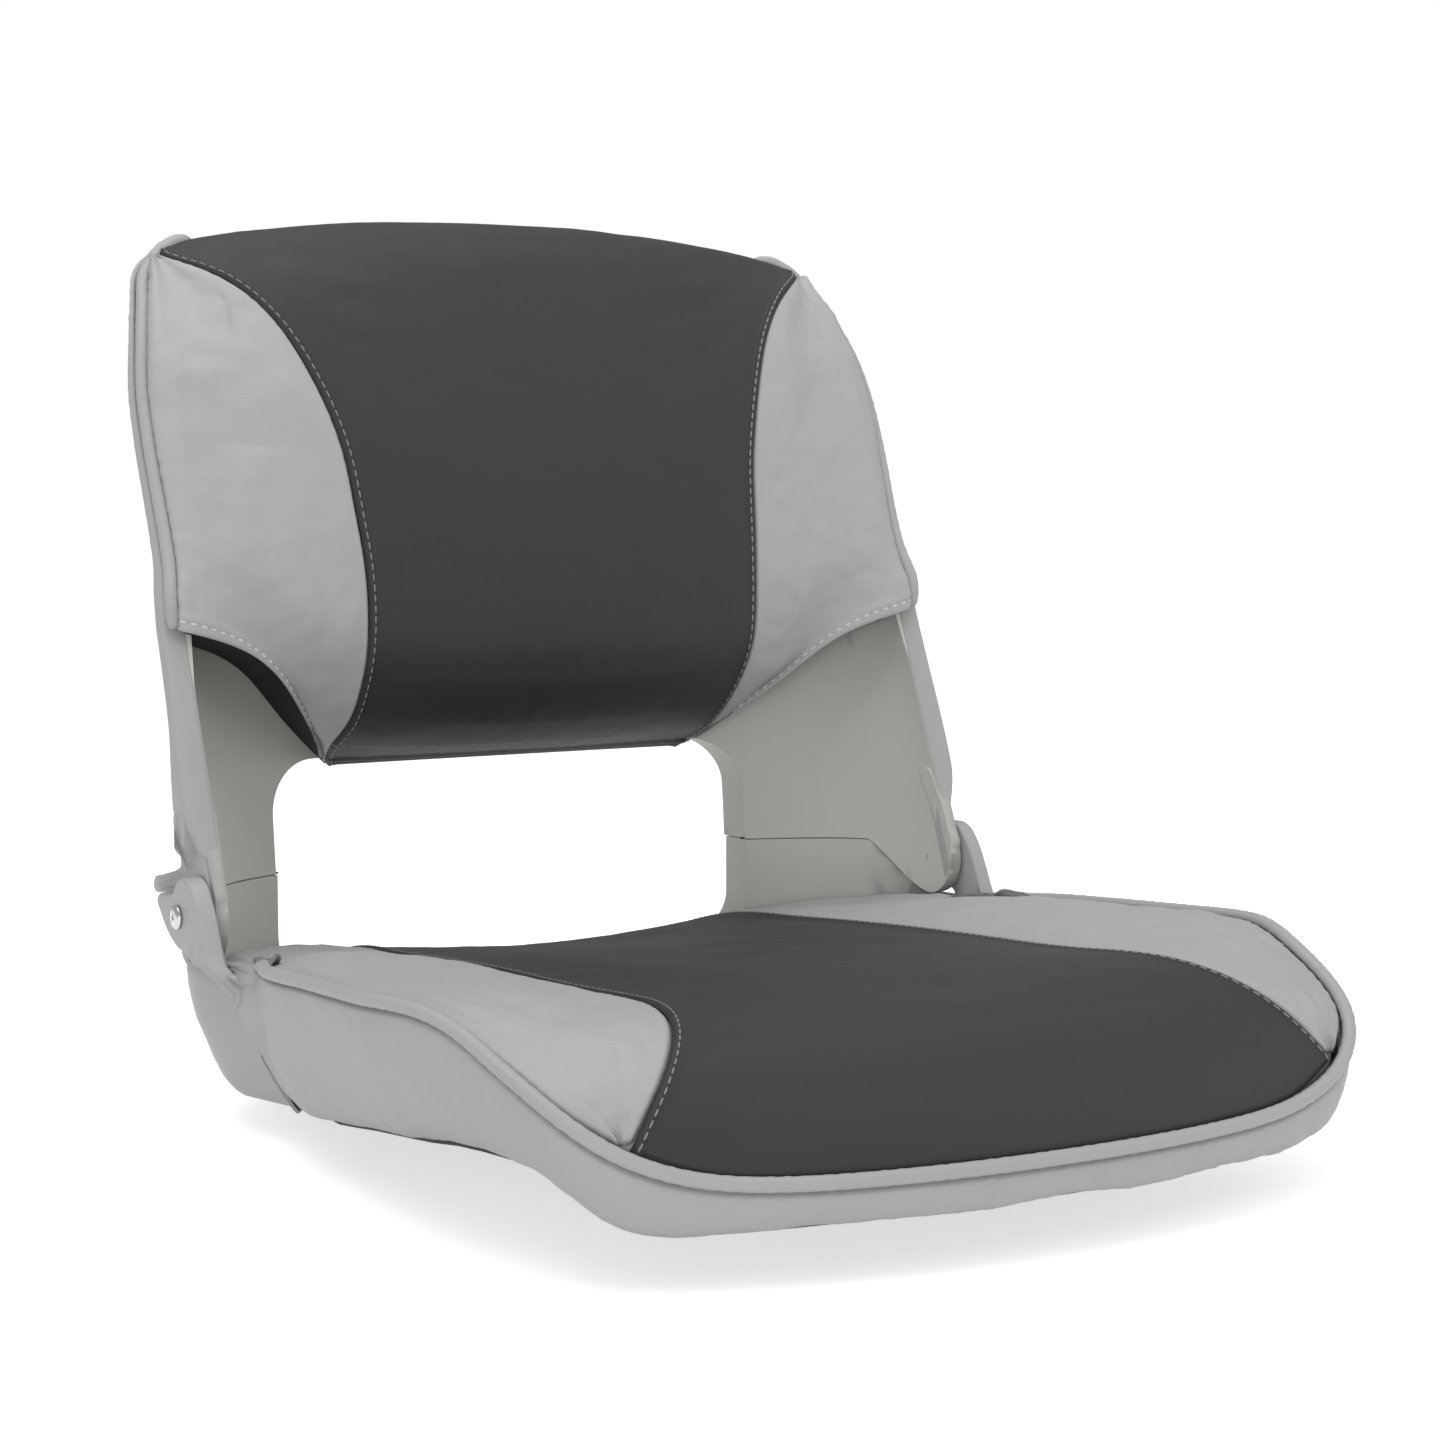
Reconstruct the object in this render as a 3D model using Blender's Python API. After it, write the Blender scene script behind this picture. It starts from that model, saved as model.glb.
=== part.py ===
"""Folding boat seat: a moulded bucket and a moulded backrest that folds forward on two side
hinges, each with a foam pad in a sewn vinyl cover.

Metres, +Z up, the sitter faces -Y, X is left and right. The origin is the middle of the flat
mounting grid under the bucket. Every length is a named size below; tables of shares hold the
hand-chosen shape of a curve, as shares of the named sizes that it follows."""
import math

import bmesh
import bpy
import numpy as np

# Datum: the rear corner of the seat's piping, from which the upholstery is set out
BUCKET_DEPTH = 0.066
MOUNT_DEPTH = 0.018
DATUM_AFT = 0.040
DATUM_HEIGHT = BUCKET_DEPTH + MOUNT_DEPTH
DATUM = np.array((0.0, DATUM_AFT, DATUM_HEIGHT))

# Clearances and stock
GAP = 0.0003
VINYL = 0.0012
WALL = 0.0040
PIPING_RADIUS = 0.0030
OVERRUN = 0.0200
FOAM_CLEARANCE = 0.0012

# Seat upholstery
SEAT_HALF = 0.2225
SEAT_FORE = 0.332
SEAT_DIP = 0.044
SEAT_BOLSTER = 0.0060
SEAT_BAND_HEIGHT = 0.066
SEAT_BAND_TUCK = 0.030
RETAINER_WIDTH = 0.014
RETAINER_THICKNESS = 0.0024
RETAINER_INSET = 0.006

# Bucket shell
BUCKET_INSET = 0.0145
BUCKET_HALF = SEAT_HALF - BUCKET_INSET
BUCKET_STRAIGHT = 0.045
BUCKET_AFT = 0.140
BUCKET_TUCK = 0.044
BUCKET_FLOOR_DROP = 0.0040
RIM_DROP = 0.0040
RIM_DROP_SHARE = 0.12
LIP_RISE = 0.017
LIP_START = 0.55
LIP_RUN = 0.30
LIP_INNER = 0.40
FLOOR_POWER = 3
POST_TOP = 0.0220
REST_CLEARANCE = 0.0015

# Lumbar opening between the bucket and the backrest
LUMBAR_HALF = 0.1340
LUMBAR_LOW = 0.0380
LUMBAR_HIGH = 0.0760
LUMBAR_RADIUS = 0.0270
LUMBAR_RETURN = 0.0160
LUMBAR_RETURN_WALL = 0.0035

# Hinges
PIVOT_AFT = 0.0620
PIVOT_RISE = 0.0160
LUG_STEP = 0.0045
LUG_INNER = BUCKET_HALF + LUG_STEP
LUG_THICKNESS = 0.0090
LUG_REACH = 0.0300
LUG_DRAFT = 0.0025
EAR_RADIUS = 0.0195
EAR_THICKNESS = 0.0090
EAR_INNER = LUG_INNER - EAR_THICKNESS
POCKET_CLEARANCE = 0.0012
HINGE_BORE = 0.0042
BUSH_BORE = 0.0032
SCREW_RADIUS = 0.0029
SCREW_HEAD_RADIUS = 0.0058
SCREW_HEAD_HEIGHT = 0.0026
SCREW_HEAD_SHARES = ((1.0, 0.0), (1.0, 0.33), (0.82, 0.80), (0.50, 1.0))
INSERT_RADIUS = 0.0042
PIN_HOLE_RADIUS = 0.0012

# Backrest shell
BACK_LEAN_SHARE = 0.41
BACK_TOP = 0.3450
BACK_SHOULDER_DROP = 0.060
BACK_CENTRE_AFT = 0.185
FLANGE_FORE = 0.045
FLANGE_LOW = 0.0290
FLANGE_WIDTH = 0.0130
FLANGE_DEPTH = 0.0095
FLANGE_RISE = 0.121
FLANGE_PROUD = 0.0008
STOP_REACH = 0.0320
STOP_HEIGHT = 0.0350

# Backrest upholstery
COVER_STEP = 0.0010
BACK_HALF = BUCKET_HALF + COVER_STEP
BACK_CREST = 0.3535
BACK_AFT = 0.200
BACK_SIDE_BULGE = 0.0060
BACK_HEM_BULGE = 0.0170
BACK_BAND_BULGE = 0.0070
BACK_BAND_INSET = 0.0035
BACK_BAND_TOP = 0.0150
BACK_BAND_LOW = 0.0280
COVER_EASE = 0.0008
REAR_HEM = 0.0840

# Mounting grid under the bucket
MOUNT_PITCH = 0.127
MOUNT_HALF = 0.090
MOUNT_RIB = 0.0035
RIB_STEP = 0.0008
LENGTHWISE_RIB_SHARES = (-1.0, -0.55, 0.0, 0.55, 1.0)
CROSSWISE_RIB_SHARES = (-1.0, 0.0, 1.0)
MOUNT_HUB_RADIUS = 0.030
BOSS_RADIUS = 0.0110
MOUNT_INSERT_RADIUS = 0.0065
MOUNT_INSERT_BORE = 0.0034
MOUNT_INSERT_DEPTH = 0.0115

# Finishes: colour, roughness and, on metal, 1.0
SHELL_FINISH = ((0.62, 0.63, 0.61), 0.45)
CHARCOAL_FINISH = ((0.06, 0.06, 0.06), 0.55)
GREY_FINISH = ((0.42, 0.42, 0.42), 0.50)
BAND_FINISH = ((0.40, 0.40, 0.40), 0.50)
PIPING_FINISH = ((0.45, 0.45, 0.45), 0.50)
FOAM_FINISH = ((0.75, 0.72, 0.55), 0.90)
RETAINER_FINISH = ((0.01, 0.01, 0.01), 0.60)
STEEL_FINISH = ((0.70, 0.70, 0.70), 0.25, 1.0)
BRASS_FINISH = ((0.65, 0.50, 0.20), 0.35, 1.0)
NYLON_FINISH = ((0.85, 0.85, 0.82), 0.40)
CREASE_ANGLE = math.radians(40)

# Counts
SIDE_ROWS = 15
CENTRE_CELLS = 6
SIDE_CELLS = 3
REAR_COLUMNS = 11
WALL_RINGS = 5
FLOOR_RING_SHARES = (0.86, 0.68, 0.46, 0.24)
TUBE_SIDES = 8
ROUND_SIDES = 16
EAR_POINTS = 13
POCKET_POINTS = 6
CORNER_POINTS = 7
MOUNT_CORNER_POINTS = 4
BAND_CELLS = 3
CRUMB_CORNERS = 8
MERGE = 0.00001
BACK_COLUMNS = 30
BACK_SHELL_ROWS = 11
REAR_PANEL_COLUMNS = 21

# A cell this many times longer one way across than the other is split the short way
SKEW_LIMIT = 1.9

# How a border is drawn in: spacing of the points that move on, and the share of a narrow strip
# that the border may cross
PULL_SPACING = 0.30
PULL_LIMIT = 0.60
PULL_STEP = 0.08

# Seat curves: across, aft and up, as shares of SEAT_HALF, SEAT_FORE and SEAT_DIP
SEAT_EDGE_SHARES = (
    (0.92, 0.00, 0.065), (0.97, -0.11, 0.10), (0.985, -0.26, 0.18), (0.995, -0.385, 0.24),
    (1.00, -0.50, 0.295), (0.98, -0.587, 0.32), (0.955, -0.657, 0.23), (0.935, -0.732, 0.035),
    (0.912, -0.795, -0.17), (0.872, -0.85, -0.42), (0.81, -0.887, -0.66))
SEAT_SEAM_SHARES = (
    (0.485, 0.476, -0.545), (0.50, 0.32, -0.295), (0.517, 0.15, -0.18), (0.521, -0.018, -0.07),
    (0.526, -0.217, 0.04), (0.535, -0.377, 0.105), (0.535, -0.515, 0.17), (0.544, -0.617, 0.235),
    (0.571, -0.708, 0.27), (0.607, -0.777, 0.205), (0.652, -0.831, 0.02), (0.715, -0.864, -0.23),
    (0.79, -0.8925, -0.695))
SEAT_MIDDLE_SHARES = (
    (0.0, 0.539, -0.77), (0.0, 0.42, -0.59), (0.0, 0.30, -0.48), (0.0, 0.15, -0.36),
    (0.0, 0.0, -0.23), (0.0, -0.18, -0.09), (0.0, -0.36, 0.02), (0.0, -0.54, 0.135),
    (0.0, -0.69, 0.19), (0.0, -0.80, 0.09), (0.0, -0.873, -0.11), (0.0, -0.934, -0.41),
    (0.0, -0.976, -0.70), (0.0, -1.0, -1.0))
# Seat band: place along the edge from the front middle, height and tuck
SEAT_BAND_SHARES = (
    (0.0, 0.235, 0.13), (0.21, 0.25, 0.17), (0.31, 0.33, 0.30), (0.37, 0.46, 0.42),
    (0.42, 0.51, 0.55), (0.47, 0.58, 0.68), (0.53, 0.74, 0.80), (0.58, 0.856, 0.92),
    (0.64, 0.886, 1.00), (0.79, 0.947, 0.92), (0.90, 1.00, 0.85), (1.0, 1.00, 0.70))
ROW_BOW_SHARE = 2.2
FRONT_BOW_SHARE = 5.8
REAR_FIT_SHARE = 0.20
SEAT_TIP_SHARE = 0.80
SEAT_UPRIGHT_SHARE = 1.0
FRONT_BOW_POWER = 8
BOLSTER_POWER = 4

# Backrest curves: across, aft and up, as shares of BACK_HALF, BACK_AFT and BACK_CREST
BACK_SEAM_SHARES = (
    (0.89, 0.855, 0.940), (0.847, 0.80, 0.928), (0.789, 0.735, 0.911), (0.70, 0.66, 0.863),
    (0.66, 0.62, 0.826), (0.617, 0.575, 0.77), (0.584, 0.535, 0.713), (0.56, 0.505, 0.653),
    (0.545, 0.4725, 0.571), (0.536, 0.45, 0.512), (0.531, 0.44, 0.441), (0.531, 0.4425, 0.402),
    (0.531, 0.47, 0.359), (0.528, 0.52, 0.315), (0.526, 0.62, 0.263), (0.526, 0.73, 0.229),
    (0.50, 0.815, 0.2065))
BACK_EDGE_SHARES = (
    (0.911, 0.87, 0.937), (0.952, 0.77, 0.868), (0.978, 0.70, 0.806), (0.993, 0.655, 0.744),
    (0.995, 0.62, 0.693), (0.99, 0.5625, 0.605), (0.986, 0.5225, 0.546), (0.99, 0.48, 0.495),
    (1.0, 0.445, 0.444), (0.995, 0.448, 0.424))
BACK_MIDDLE_SHARES = (
    (0.0, 0.80, 0.973), (0.0, 0.74, 0.919), (0.0, 0.665, 0.843), (0.0, 0.595, 0.758),
    (0.0, 0.53, 0.665), (0.0, 0.485, 0.58), (0.0, 0.45, 0.504), (0.0, 0.43, 0.438),
    (0.0, 0.435, 0.382), (0.0, 0.485, 0.317), (0.0, 0.585, 0.263), (0.0, 0.71, 0.229),
    (0.0, 0.83, 0.2065))
# Backrest cover over its top edge, from the rear seam forward: middle and corner places
BACK_CROWN_MIDDLE_SHARES = (
    (0.0, 0.957, 0.962), (0.0, 0.955, 0.986), (0.0, 0.91, 1.0), (0.0, 0.85, 0.993))
BACK_CROWN_CORNER_SHARES = (
    (0.885, 0.945, 0.936), (0.886, 0.935, 0.946), (0.887, 0.905, 0.951), (0.888, 0.874, 0.947))
# Backrest shell's half width up the side: height as a share of BACK_CREST, share of BUCKET_HALF
BACK_HALF_SHARES = (
    (0.00, 1.00), (0.34, 1.00), (0.44, 0.984), (0.54, 0.970), (0.69, 0.975), (0.80, 0.962),
    (0.87, 0.938), (0.93, 0.894), (1.00, 0.84))
BACK_BOW_SHARE = 2.4
BACK_HEM_BOW_SHARE = 3.5
SHOULDER_BOW_SHARE = 6.0
HEM_POWER = 6
REAR_EDGE_POWER = 8.0

# Lug outline about the pivot: aft and up, as shares of LUG_REACH
LUG_SHARES = (
    (-1.95, -0.72), (-1.38, -0.43), (-0.98, -0.16), (-0.69, 0.16), (-0.55, 0.44), (-0.28, 0.64),
    (0.02, 0.60), (0.30, 0.40), (0.62, 0.33), (0.98, 0.30), (1.03, 0.22), (0.86, -0.04),
    (0.53, -0.33), (0.10, -0.53), (-0.38, -0.62), (-0.52, -0.82), (-0.90, -1.30), (-1.55, -1.35),
    (-1.95, -1.05))
# Foot that joins the lug to the bucket below the ear's room, as the lug's shares
FOOT_SHARES = (
    (-1.80, -0.78), (-1.10, -0.72), (-0.48, -0.72), (-0.55, -0.86), (-0.95, -1.24), (-1.50, -1.28),
    (-1.80, -1.05))
# Stop on the backrest leg about the pivot: aft and up, as shares of STOP_REACH and STOP_HEIGHT
STOP_SHARES = (
    (0.641, 0.290), (0.969, 0.265), (1.00, 0.28), (1.00, 0.423), (0.75, 0.491), (0.453, 0.629),
    (0.3125, 0.80), (0.203, 1.03), (0.14, 1.343), (-0.094, 1.343), (-0.031, 1.143), (0.10, 0.886),
    (0.1875, 0.771), (0.266, 0.594), (0.484, 0.463))
# Backrest flange: up from the ear, outer face and depth, as shares of its rise, width and depth
FLANGE_SHARES = (
    (0.00, 0.52, 1.30), (0.10, 0.50, 1.25), (0.19, 0.56, 1.15), (0.24, 0.80, 1.10),
    (0.29, 1.14, 1.05), (0.40, 1.16, 1.00), (0.70, 1.06, 1.00), (0.92, 1.00, 1.00),
    (0.96, 0.90, 0.95), (1.00, 0.18, 0.85), (1.12, 0.12, 0.80))


def places(shares, sizes):
    """Points of a share table, in metres from the datum."""
    return np.asarray(shares) * np.asarray(sizes)


def along(points, shares):
    """A smooth curve through points, read at shares of its length."""
    points = np.asarray(points, dtype=float)
    run = np.concatenate(([0.0], np.cumsum(np.linalg.norm(np.diff(points, axis=0), axis=1))))
    slope = np.gradient(points, run, axis=0)
    at = np.asarray(shares) * run[-1]
    k = np.clip(np.searchsorted(run, at, side="right") - 1, 0, len(run) - 2)
    span = (run[k + 1] - run[k])[:, None]
    t = ((at - run[k])[:, None]) / span
    return ((2 * t**3 - 3 * t**2 + 1) * points[k] + (t**3 - 2 * t**2 + t) * span * slope[k]
            + (3 * t**2 - 2 * t**3) * points[k + 1] + (t**3 - t**2) * span * slope[k + 1])


def even(count):
    return np.linspace(0.0, 1.0, count)


def table(shares, at, column):
    """One column of a share table, read smoothly at places along it."""
    rows = np.asarray(shares)
    return np.interp(at, rows[:, 0], rows[:, column])


def bow(middle, seam, across, power, lift_power=None):
    """A row across the pad from its middle to its seam, bowed by a power of the width."""
    share = np.abs(across)[:, None]
    reach = np.hstack((share, share**power, share**(lift_power or power)))
    row = middle + (seam - middle) * reach
    row[:, 0] = across * seam[0]
    return row


def hump(side):
    """A swell that is 0 at both ends of a row and 1 in its middle."""
    return (4 * side * (1 - side))[:, 0]


def mirrored(points):
    return points * np.array((-1.0, 1.0, 1.0))


def normals(grid):
    """Unit normals of a grid of points: rows run along axis 0, columns along axis 1."""
    cell = np.cross(grid[1:, 1:] - grid[:-1, :-1], grid[:-1, 1:] - grid[1:, :-1])
    total = np.zeros_like(grid)
    for i, j in ((0, 0), (0, 1), (1, 0), (1, 1)):
        total[i:i + len(cell), j:j + cell.shape[1]] += cell
    return total / np.linalg.norm(total, axis=2, keepdims=True)


def pulled(grid, side, distance):
    """The grid with one border drawn in square to itself; points in its way move on before it."""
    axis = {"first_row": 0, "last_row": 0, "first_column": 1, "last_column": 1}[side]
    work = np.swapaxes(grid, 0, axis).copy()
    face = np.swapaxes(normals(grid), 0, axis)
    if side.startswith("last"):
        work, face = work[::-1], face[::-1]
    tangent = np.gradient(work[0], axis=0)
    square = np.cross(face[0], tangent)
    square /= np.linalg.norm(square, axis=1, keepdims=True)
    width = ((work - work[0]) * square).sum(axis=2)
    square *= np.sign(np.median(width[1]))
    width = np.abs(width)
    for end in (0, -1):
        step = work[1, end] - work[0, end]
        step /= np.linalg.norm(step)
        if step @ square[end] > PULL_LIMIT:
            square[end] = step / (step @ square[end])
    for k in range(len(work)):
        least = np.minimum(distance * (1 + k * PULL_SPACING), width[-1] * (PULL_LIMIT + k * PULL_STEP))
        work[k] = work[k] + square * np.maximum(least - width[k], 0.0)[:, None]
    if side.startswith("last"):
        work = work[::-1]
    return np.swapaxes(work, 0, axis)


def material(name, colour, roughness, metallic=0.0):
    made = bpy.data.materials.new(name)
    made.use_nodes = True
    shader = made.node_tree.nodes["Principled BSDF"]
    shader.inputs["Base Color"].default_value = (*colour, 1.0)
    shader.inputs["Roughness"].default_value = roughness
    shader.inputs["Metallic"].default_value = metallic
    made.diffuse_color = (*colour, 1.0)
    return made


def piece(name, mesh, finish, parent):
    """A finished object, placed under its body's empty."""
    mesh.shade_smooth()
    mesh.set_sharp_from_angle(angle=CREASE_ANGLE)
    made = bpy.data.objects.new(name, mesh)
    bpy.context.collection.objects.link(made)
    made.data.materials.append(material(name, *finish))
    made.parent = parent
    made.matrix_parent_inverse = parent.matrix_world.inverted()
    return made


def mesh_of(points, faces, name="form"):
    made = bpy.data.meshes.new(name)
    made.from_pydata([tuple(p) for p in points], [], faces)
    work = bmesh.new()
    work.from_mesh(made)
    bmesh.ops.recalc_face_normals(work, faces=work.faces)
    if work.calc_volume(signed=True) < 0:
        bmesh.ops.reverse_faces(work, faces=work.faces)
    work.to_mesh(made)
    work.free()
    return made


def slab(near, far):
    """A closed sheet between two grids of the same size; each side's cells are split alike, a
    very skew one across its shorter way."""
    rows, columns = near.shape[:2]
    points = np.concatenate((near.reshape(-1, 3), far.reshape(-1, 3)))
    other = rows * columns
    faces = []
    for i in range(rows - 1):
        for j in range(columns - 1):
            a, b = i * columns + j, i * columns + j + 1
            c, d = a + columns, b + columns
            falling = np.linalg.norm(near[i + 1, j + 1] - near[i, j])
            rising = np.linalg.norm(near[i, j + 1] - near[i + 1, j])
            straight = near[i:i + 2, j:j + 2, 0].mean() >= 0
            if rising * SKEW_LIMIT < falling or falling * SKEW_LIMIT < rising:
                straight = falling < rising
            if straight:
                pair = ((a, b, d), (a, d, c))
            else:
                pair = ((a, b, c), (b, d, c))
            for face in pair:
                faces.append(face)
                faces.append(tuple(v + other for v in reversed(face)))
    border = ([j for j in range(columns)] + [i * columns + columns - 1 for i in range(1, rows)]
              + [(rows - 1) * columns + j for j in range(columns - 2, -1, -1)]
              + [i * columns for i in range(rows - 2, 0, -1)])
    for a, b in zip(border, border[1:] + border[:1]):
        faces.append((b, a, a + other, b + other))
    return mesh_of(points, faces)


def sheet(grid, near, far, directions=None):
    """A closed sheet between two offsets of a grid along its normals."""
    out = normals(grid) if directions is None else directions
    return slab(grid + DATUM + out * near, grid + DATUM + out * far)


def bowl(rings_outer, rings_inner):
    """A closed vessel: rings run from the rim to the middle, each a closed loop of points."""
    count = rings_outer.shape[1]
    points = [p for ring in rings_outer for p in ring] + [p for ring in rings_inner for p in ring]
    inner = rings_outer.shape[0] * count
    faces = []
    for side, rings in ((0, len(rings_outer)), (inner, len(rings_inner))):
        for k in range(rings - 1):
            for i in range(count):
                j = (i + 1) % count
                a, b = side + k * count + i, side + k * count + j
                c, d = a + count, b + count
                pair = ((a, b, d), (a, d, c)) if i < count / 2 else ((a, b, c), (b, d, c))
                faces.extend(pair if side == 0 else [tuple(reversed(f)) for f in pair])
        last = side + (rings - 1) * count
        cap = [last + i for i in range(count)]
        faces.append(tuple(cap if side == 0 else reversed(cap)))
    for i in range(count):
        j = (i + 1) % count
        faces.append((j, i, inner + i, inner + j))
    return mesh_of(np.array(points) + DATUM, faces)


def capped(rings):
    """A closed solid through rings of points, its first and last rings capped."""
    count = rings.shape[1]
    faces = [tuple(range(count)), tuple(range((len(rings) - 1) * count, len(rings) * count))]
    for k in range(len(rings) - 1):
        for i in range(count):
            j = (i + 1) % count
            a, b, c, d = k * count + i, k * count + j, (k + 1) * count + i, (k + 1) * count + j
            pair = ((a, b, d), (a, d, c)) if i < count / 2 else ((a, b, c), (b, d, c))
            faces.extend(pair)
    return mesh_of(rings.reshape(-1, 3) + DATUM, faces)


def tube(path, radius, sides):
    """A round tube through the points of a path."""
    step = np.gradient(path, axis=0)
    step /= np.linalg.norm(step, axis=1, keepdims=True)
    side = np.cross(step, np.array((0.0, 0.0, 1.0)))
    side /= np.linalg.norm(side, axis=1, keepdims=True)
    up = np.cross(side, step)
    turns = np.arange(sides) * math.tau / sides
    rings = (path[:, None, :] + radius * (np.cos(turns)[None, :, None] * side[:, None, :]
                                          + np.sin(turns)[None, :, None] * up[:, None, :]))
    return capped(rings)


def plate(outline, inner, outer, draft=0.0):
    """An outline of (aft, up) points made a plate between two places across, its outer face
    smaller all round by the draft."""
    outline = np.asarray(outline)
    middle = outline.mean(axis=0)
    reach = np.abs(outline - middle).max(axis=0)
    face = middle + (outline - middle) * (1 - draft / reach)
    rings = np.array([[(x, y, z) for y, z in ring] for x, ring in ((inner, outline), (outer, face))])
    return capped(rings)


def turned(profile, aft, up, side, sides=ROUND_SIDES):
    """A solid turned about a line across the seat: profile is (radius, place across)."""
    turns = np.arange(sides) * math.tau / sides
    rings = [[(side * x, aft + r * math.cos(a), up + r * math.sin(a)) for a in turns] for r, x in profile]
    return capped(np.array(rings))


def ring_turned(bore, profile, place, axis, sides=ROUND_SIDES):
    """A sleeve: profile is (outer radius, place along); the bore runs right through it."""
    turns = np.arange(sides) * math.tau / sides
    loop = [(r, s) for r, s in profile] + [(bore, profile[-1][1]), (bore, profile[0][1])]
    points, faces = [], []
    for r, s in loop:
        for a in turns:
            u, v = r * math.cos(a), r * math.sin(a)
            local = (s, u, v) if axis == "X" else (u, v, s)
            points.append(np.array(local) + place + DATUM)
    for k in range(len(loop)):
        for i in range(sides):
            j, n = (i + 1) % sides, (k + 1) % len(loop)
            faces.append((k * sides + i, k * sides + j, n * sides + j, n * sides + i))
    return mesh_of(points, faces)


def rounded_rectangle(half, low, high, radius, corner_points=CORNER_POINTS):
    """Points of a rectangle with round corners, as (across, up)."""
    turn = np.linspace(0.0, math.pi / 2, corner_points)
    points = []
    for k, (x, z) in enumerate(((half, high), (-half, high), (-half, low), (half, low))):
        centre = (x - math.copysign(radius, x), z - (radius if k < 2 else -radius))
        points += [(centre[0] + radius * math.cos(a + k * math.pi / 2),
                    centre[1] + radius * math.sin(a + k * math.pi / 2)) for a in turn]
    return points


def prism(outline, low, high, axis="Y"):
    """An (across, up) outline extruded aft, or an (across, aft) one extruded up."""
    def lay(a, b, s):
        return (a, s, b) if axis == "Y" else (a, b, s)
    return capped(np.array([[lay(a, b, s) for a, b in outline] for s in (low, high)]))


def combined(first, others, operation):
    """The mesh that a Boolean of one mesh with others leaves."""
    base = bpy.data.objects.new("base", first)
    bpy.context.collection.objects.link(base)
    helpers = []
    for k, mesh in enumerate(others):
        helper = bpy.data.objects.new(f"helper_{k}", mesh)
        bpy.context.collection.objects.link(helper)
        helpers.append(helper)
        cut = base.modifiers.new(f"cut_{k}", "BOOLEAN")
        cut.operation = operation
        cut.solver = "EXACT"
        cut.use_self = operation == "INTERSECT"
        cut.object = helper
    shape = bpy.context.evaluated_depsgraph_get()
    shape.update()
    result = bpy.data.meshes.new_from_object(base.evaluated_get(shape), depsgraph=shape)
    for made in [base] + helpers:
        bpy.data.objects.remove(made, do_unlink=True)
    return without_crumbs(result)


def without_crumbs(mesh):
    """The mesh without the specks of a few corners that a Boolean can leave where faces graze."""
    work = bmesh.new()
    work.from_mesh(mesh)
    bmesh.ops.remove_doubles(work, verts=work.verts, dist=MERGE)
    seen, crumbs = set(), []
    for start in work.verts:
        if start in seen:
            continue
        island, edge = {start}, [start]
        while edge:
            for link in edge.pop().link_edges:
                for corner in link.verts:
                    if corner not in island:
                        island.add(corner)
                        edge.append(corner)
        seen |= island
        if len(island) < CRUMB_CORNERS:
            crumbs.extend(island)
    bmesh.ops.delete(work, geom=crumbs, context="VERTS")
    work.to_mesh(mesh)
    work.free()
    return mesh


def drawn_in(loop, distance):
    """A closed loop of plane points, counter-clockwise, moved in by a distance."""
    step = np.roll(loop, -1, axis=0) - np.roll(loop, 1, axis=0)
    step /= np.linalg.norm(step, axis=1, keepdims=True)
    return loop + distance * np.stack((-step[:, 1], step[:, 0]), axis=1)


def wall_point(across_turn, offset, straight, centre):
    """A point of the round rear wall in plan: 0 is the right side, a half turn the left."""
    return ((BUCKET_HALF + offset) * np.cos(across_turn),
            straight + (centre + offset - straight) * np.sin(across_turn))


def leg_line(up):
    """How far aft the front edge of the backrest's side lies at a height."""
    return FLANGE_FORE + (np.asarray(up) - FLANGE_LOW) * BACK_LEAN_SHARE


def back_half(up):
    """How far out the backrest's side edge lies at a height: it follows the cover above the hem."""
    shares = np.asarray(BACK_HALF_SHARES)
    return BUCKET_HALF * np.interp(np.asarray(up) / BACK_CREST, shares[:, 0], shares[:, 1])


def back_wall(across, up, offset):
    """How far aft the backrest's wall lies; offset 0 is its rear face, -WALL its front face."""
    side = leg_line(up)
    half = back_half(up) + offset
    reach = np.sqrt(np.clip(1 - (np.asarray(across) / half) ** 2, 0.0, 1.0))
    return side + (BACK_CENTRE_AFT + WALL + offset - side) * reach


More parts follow.
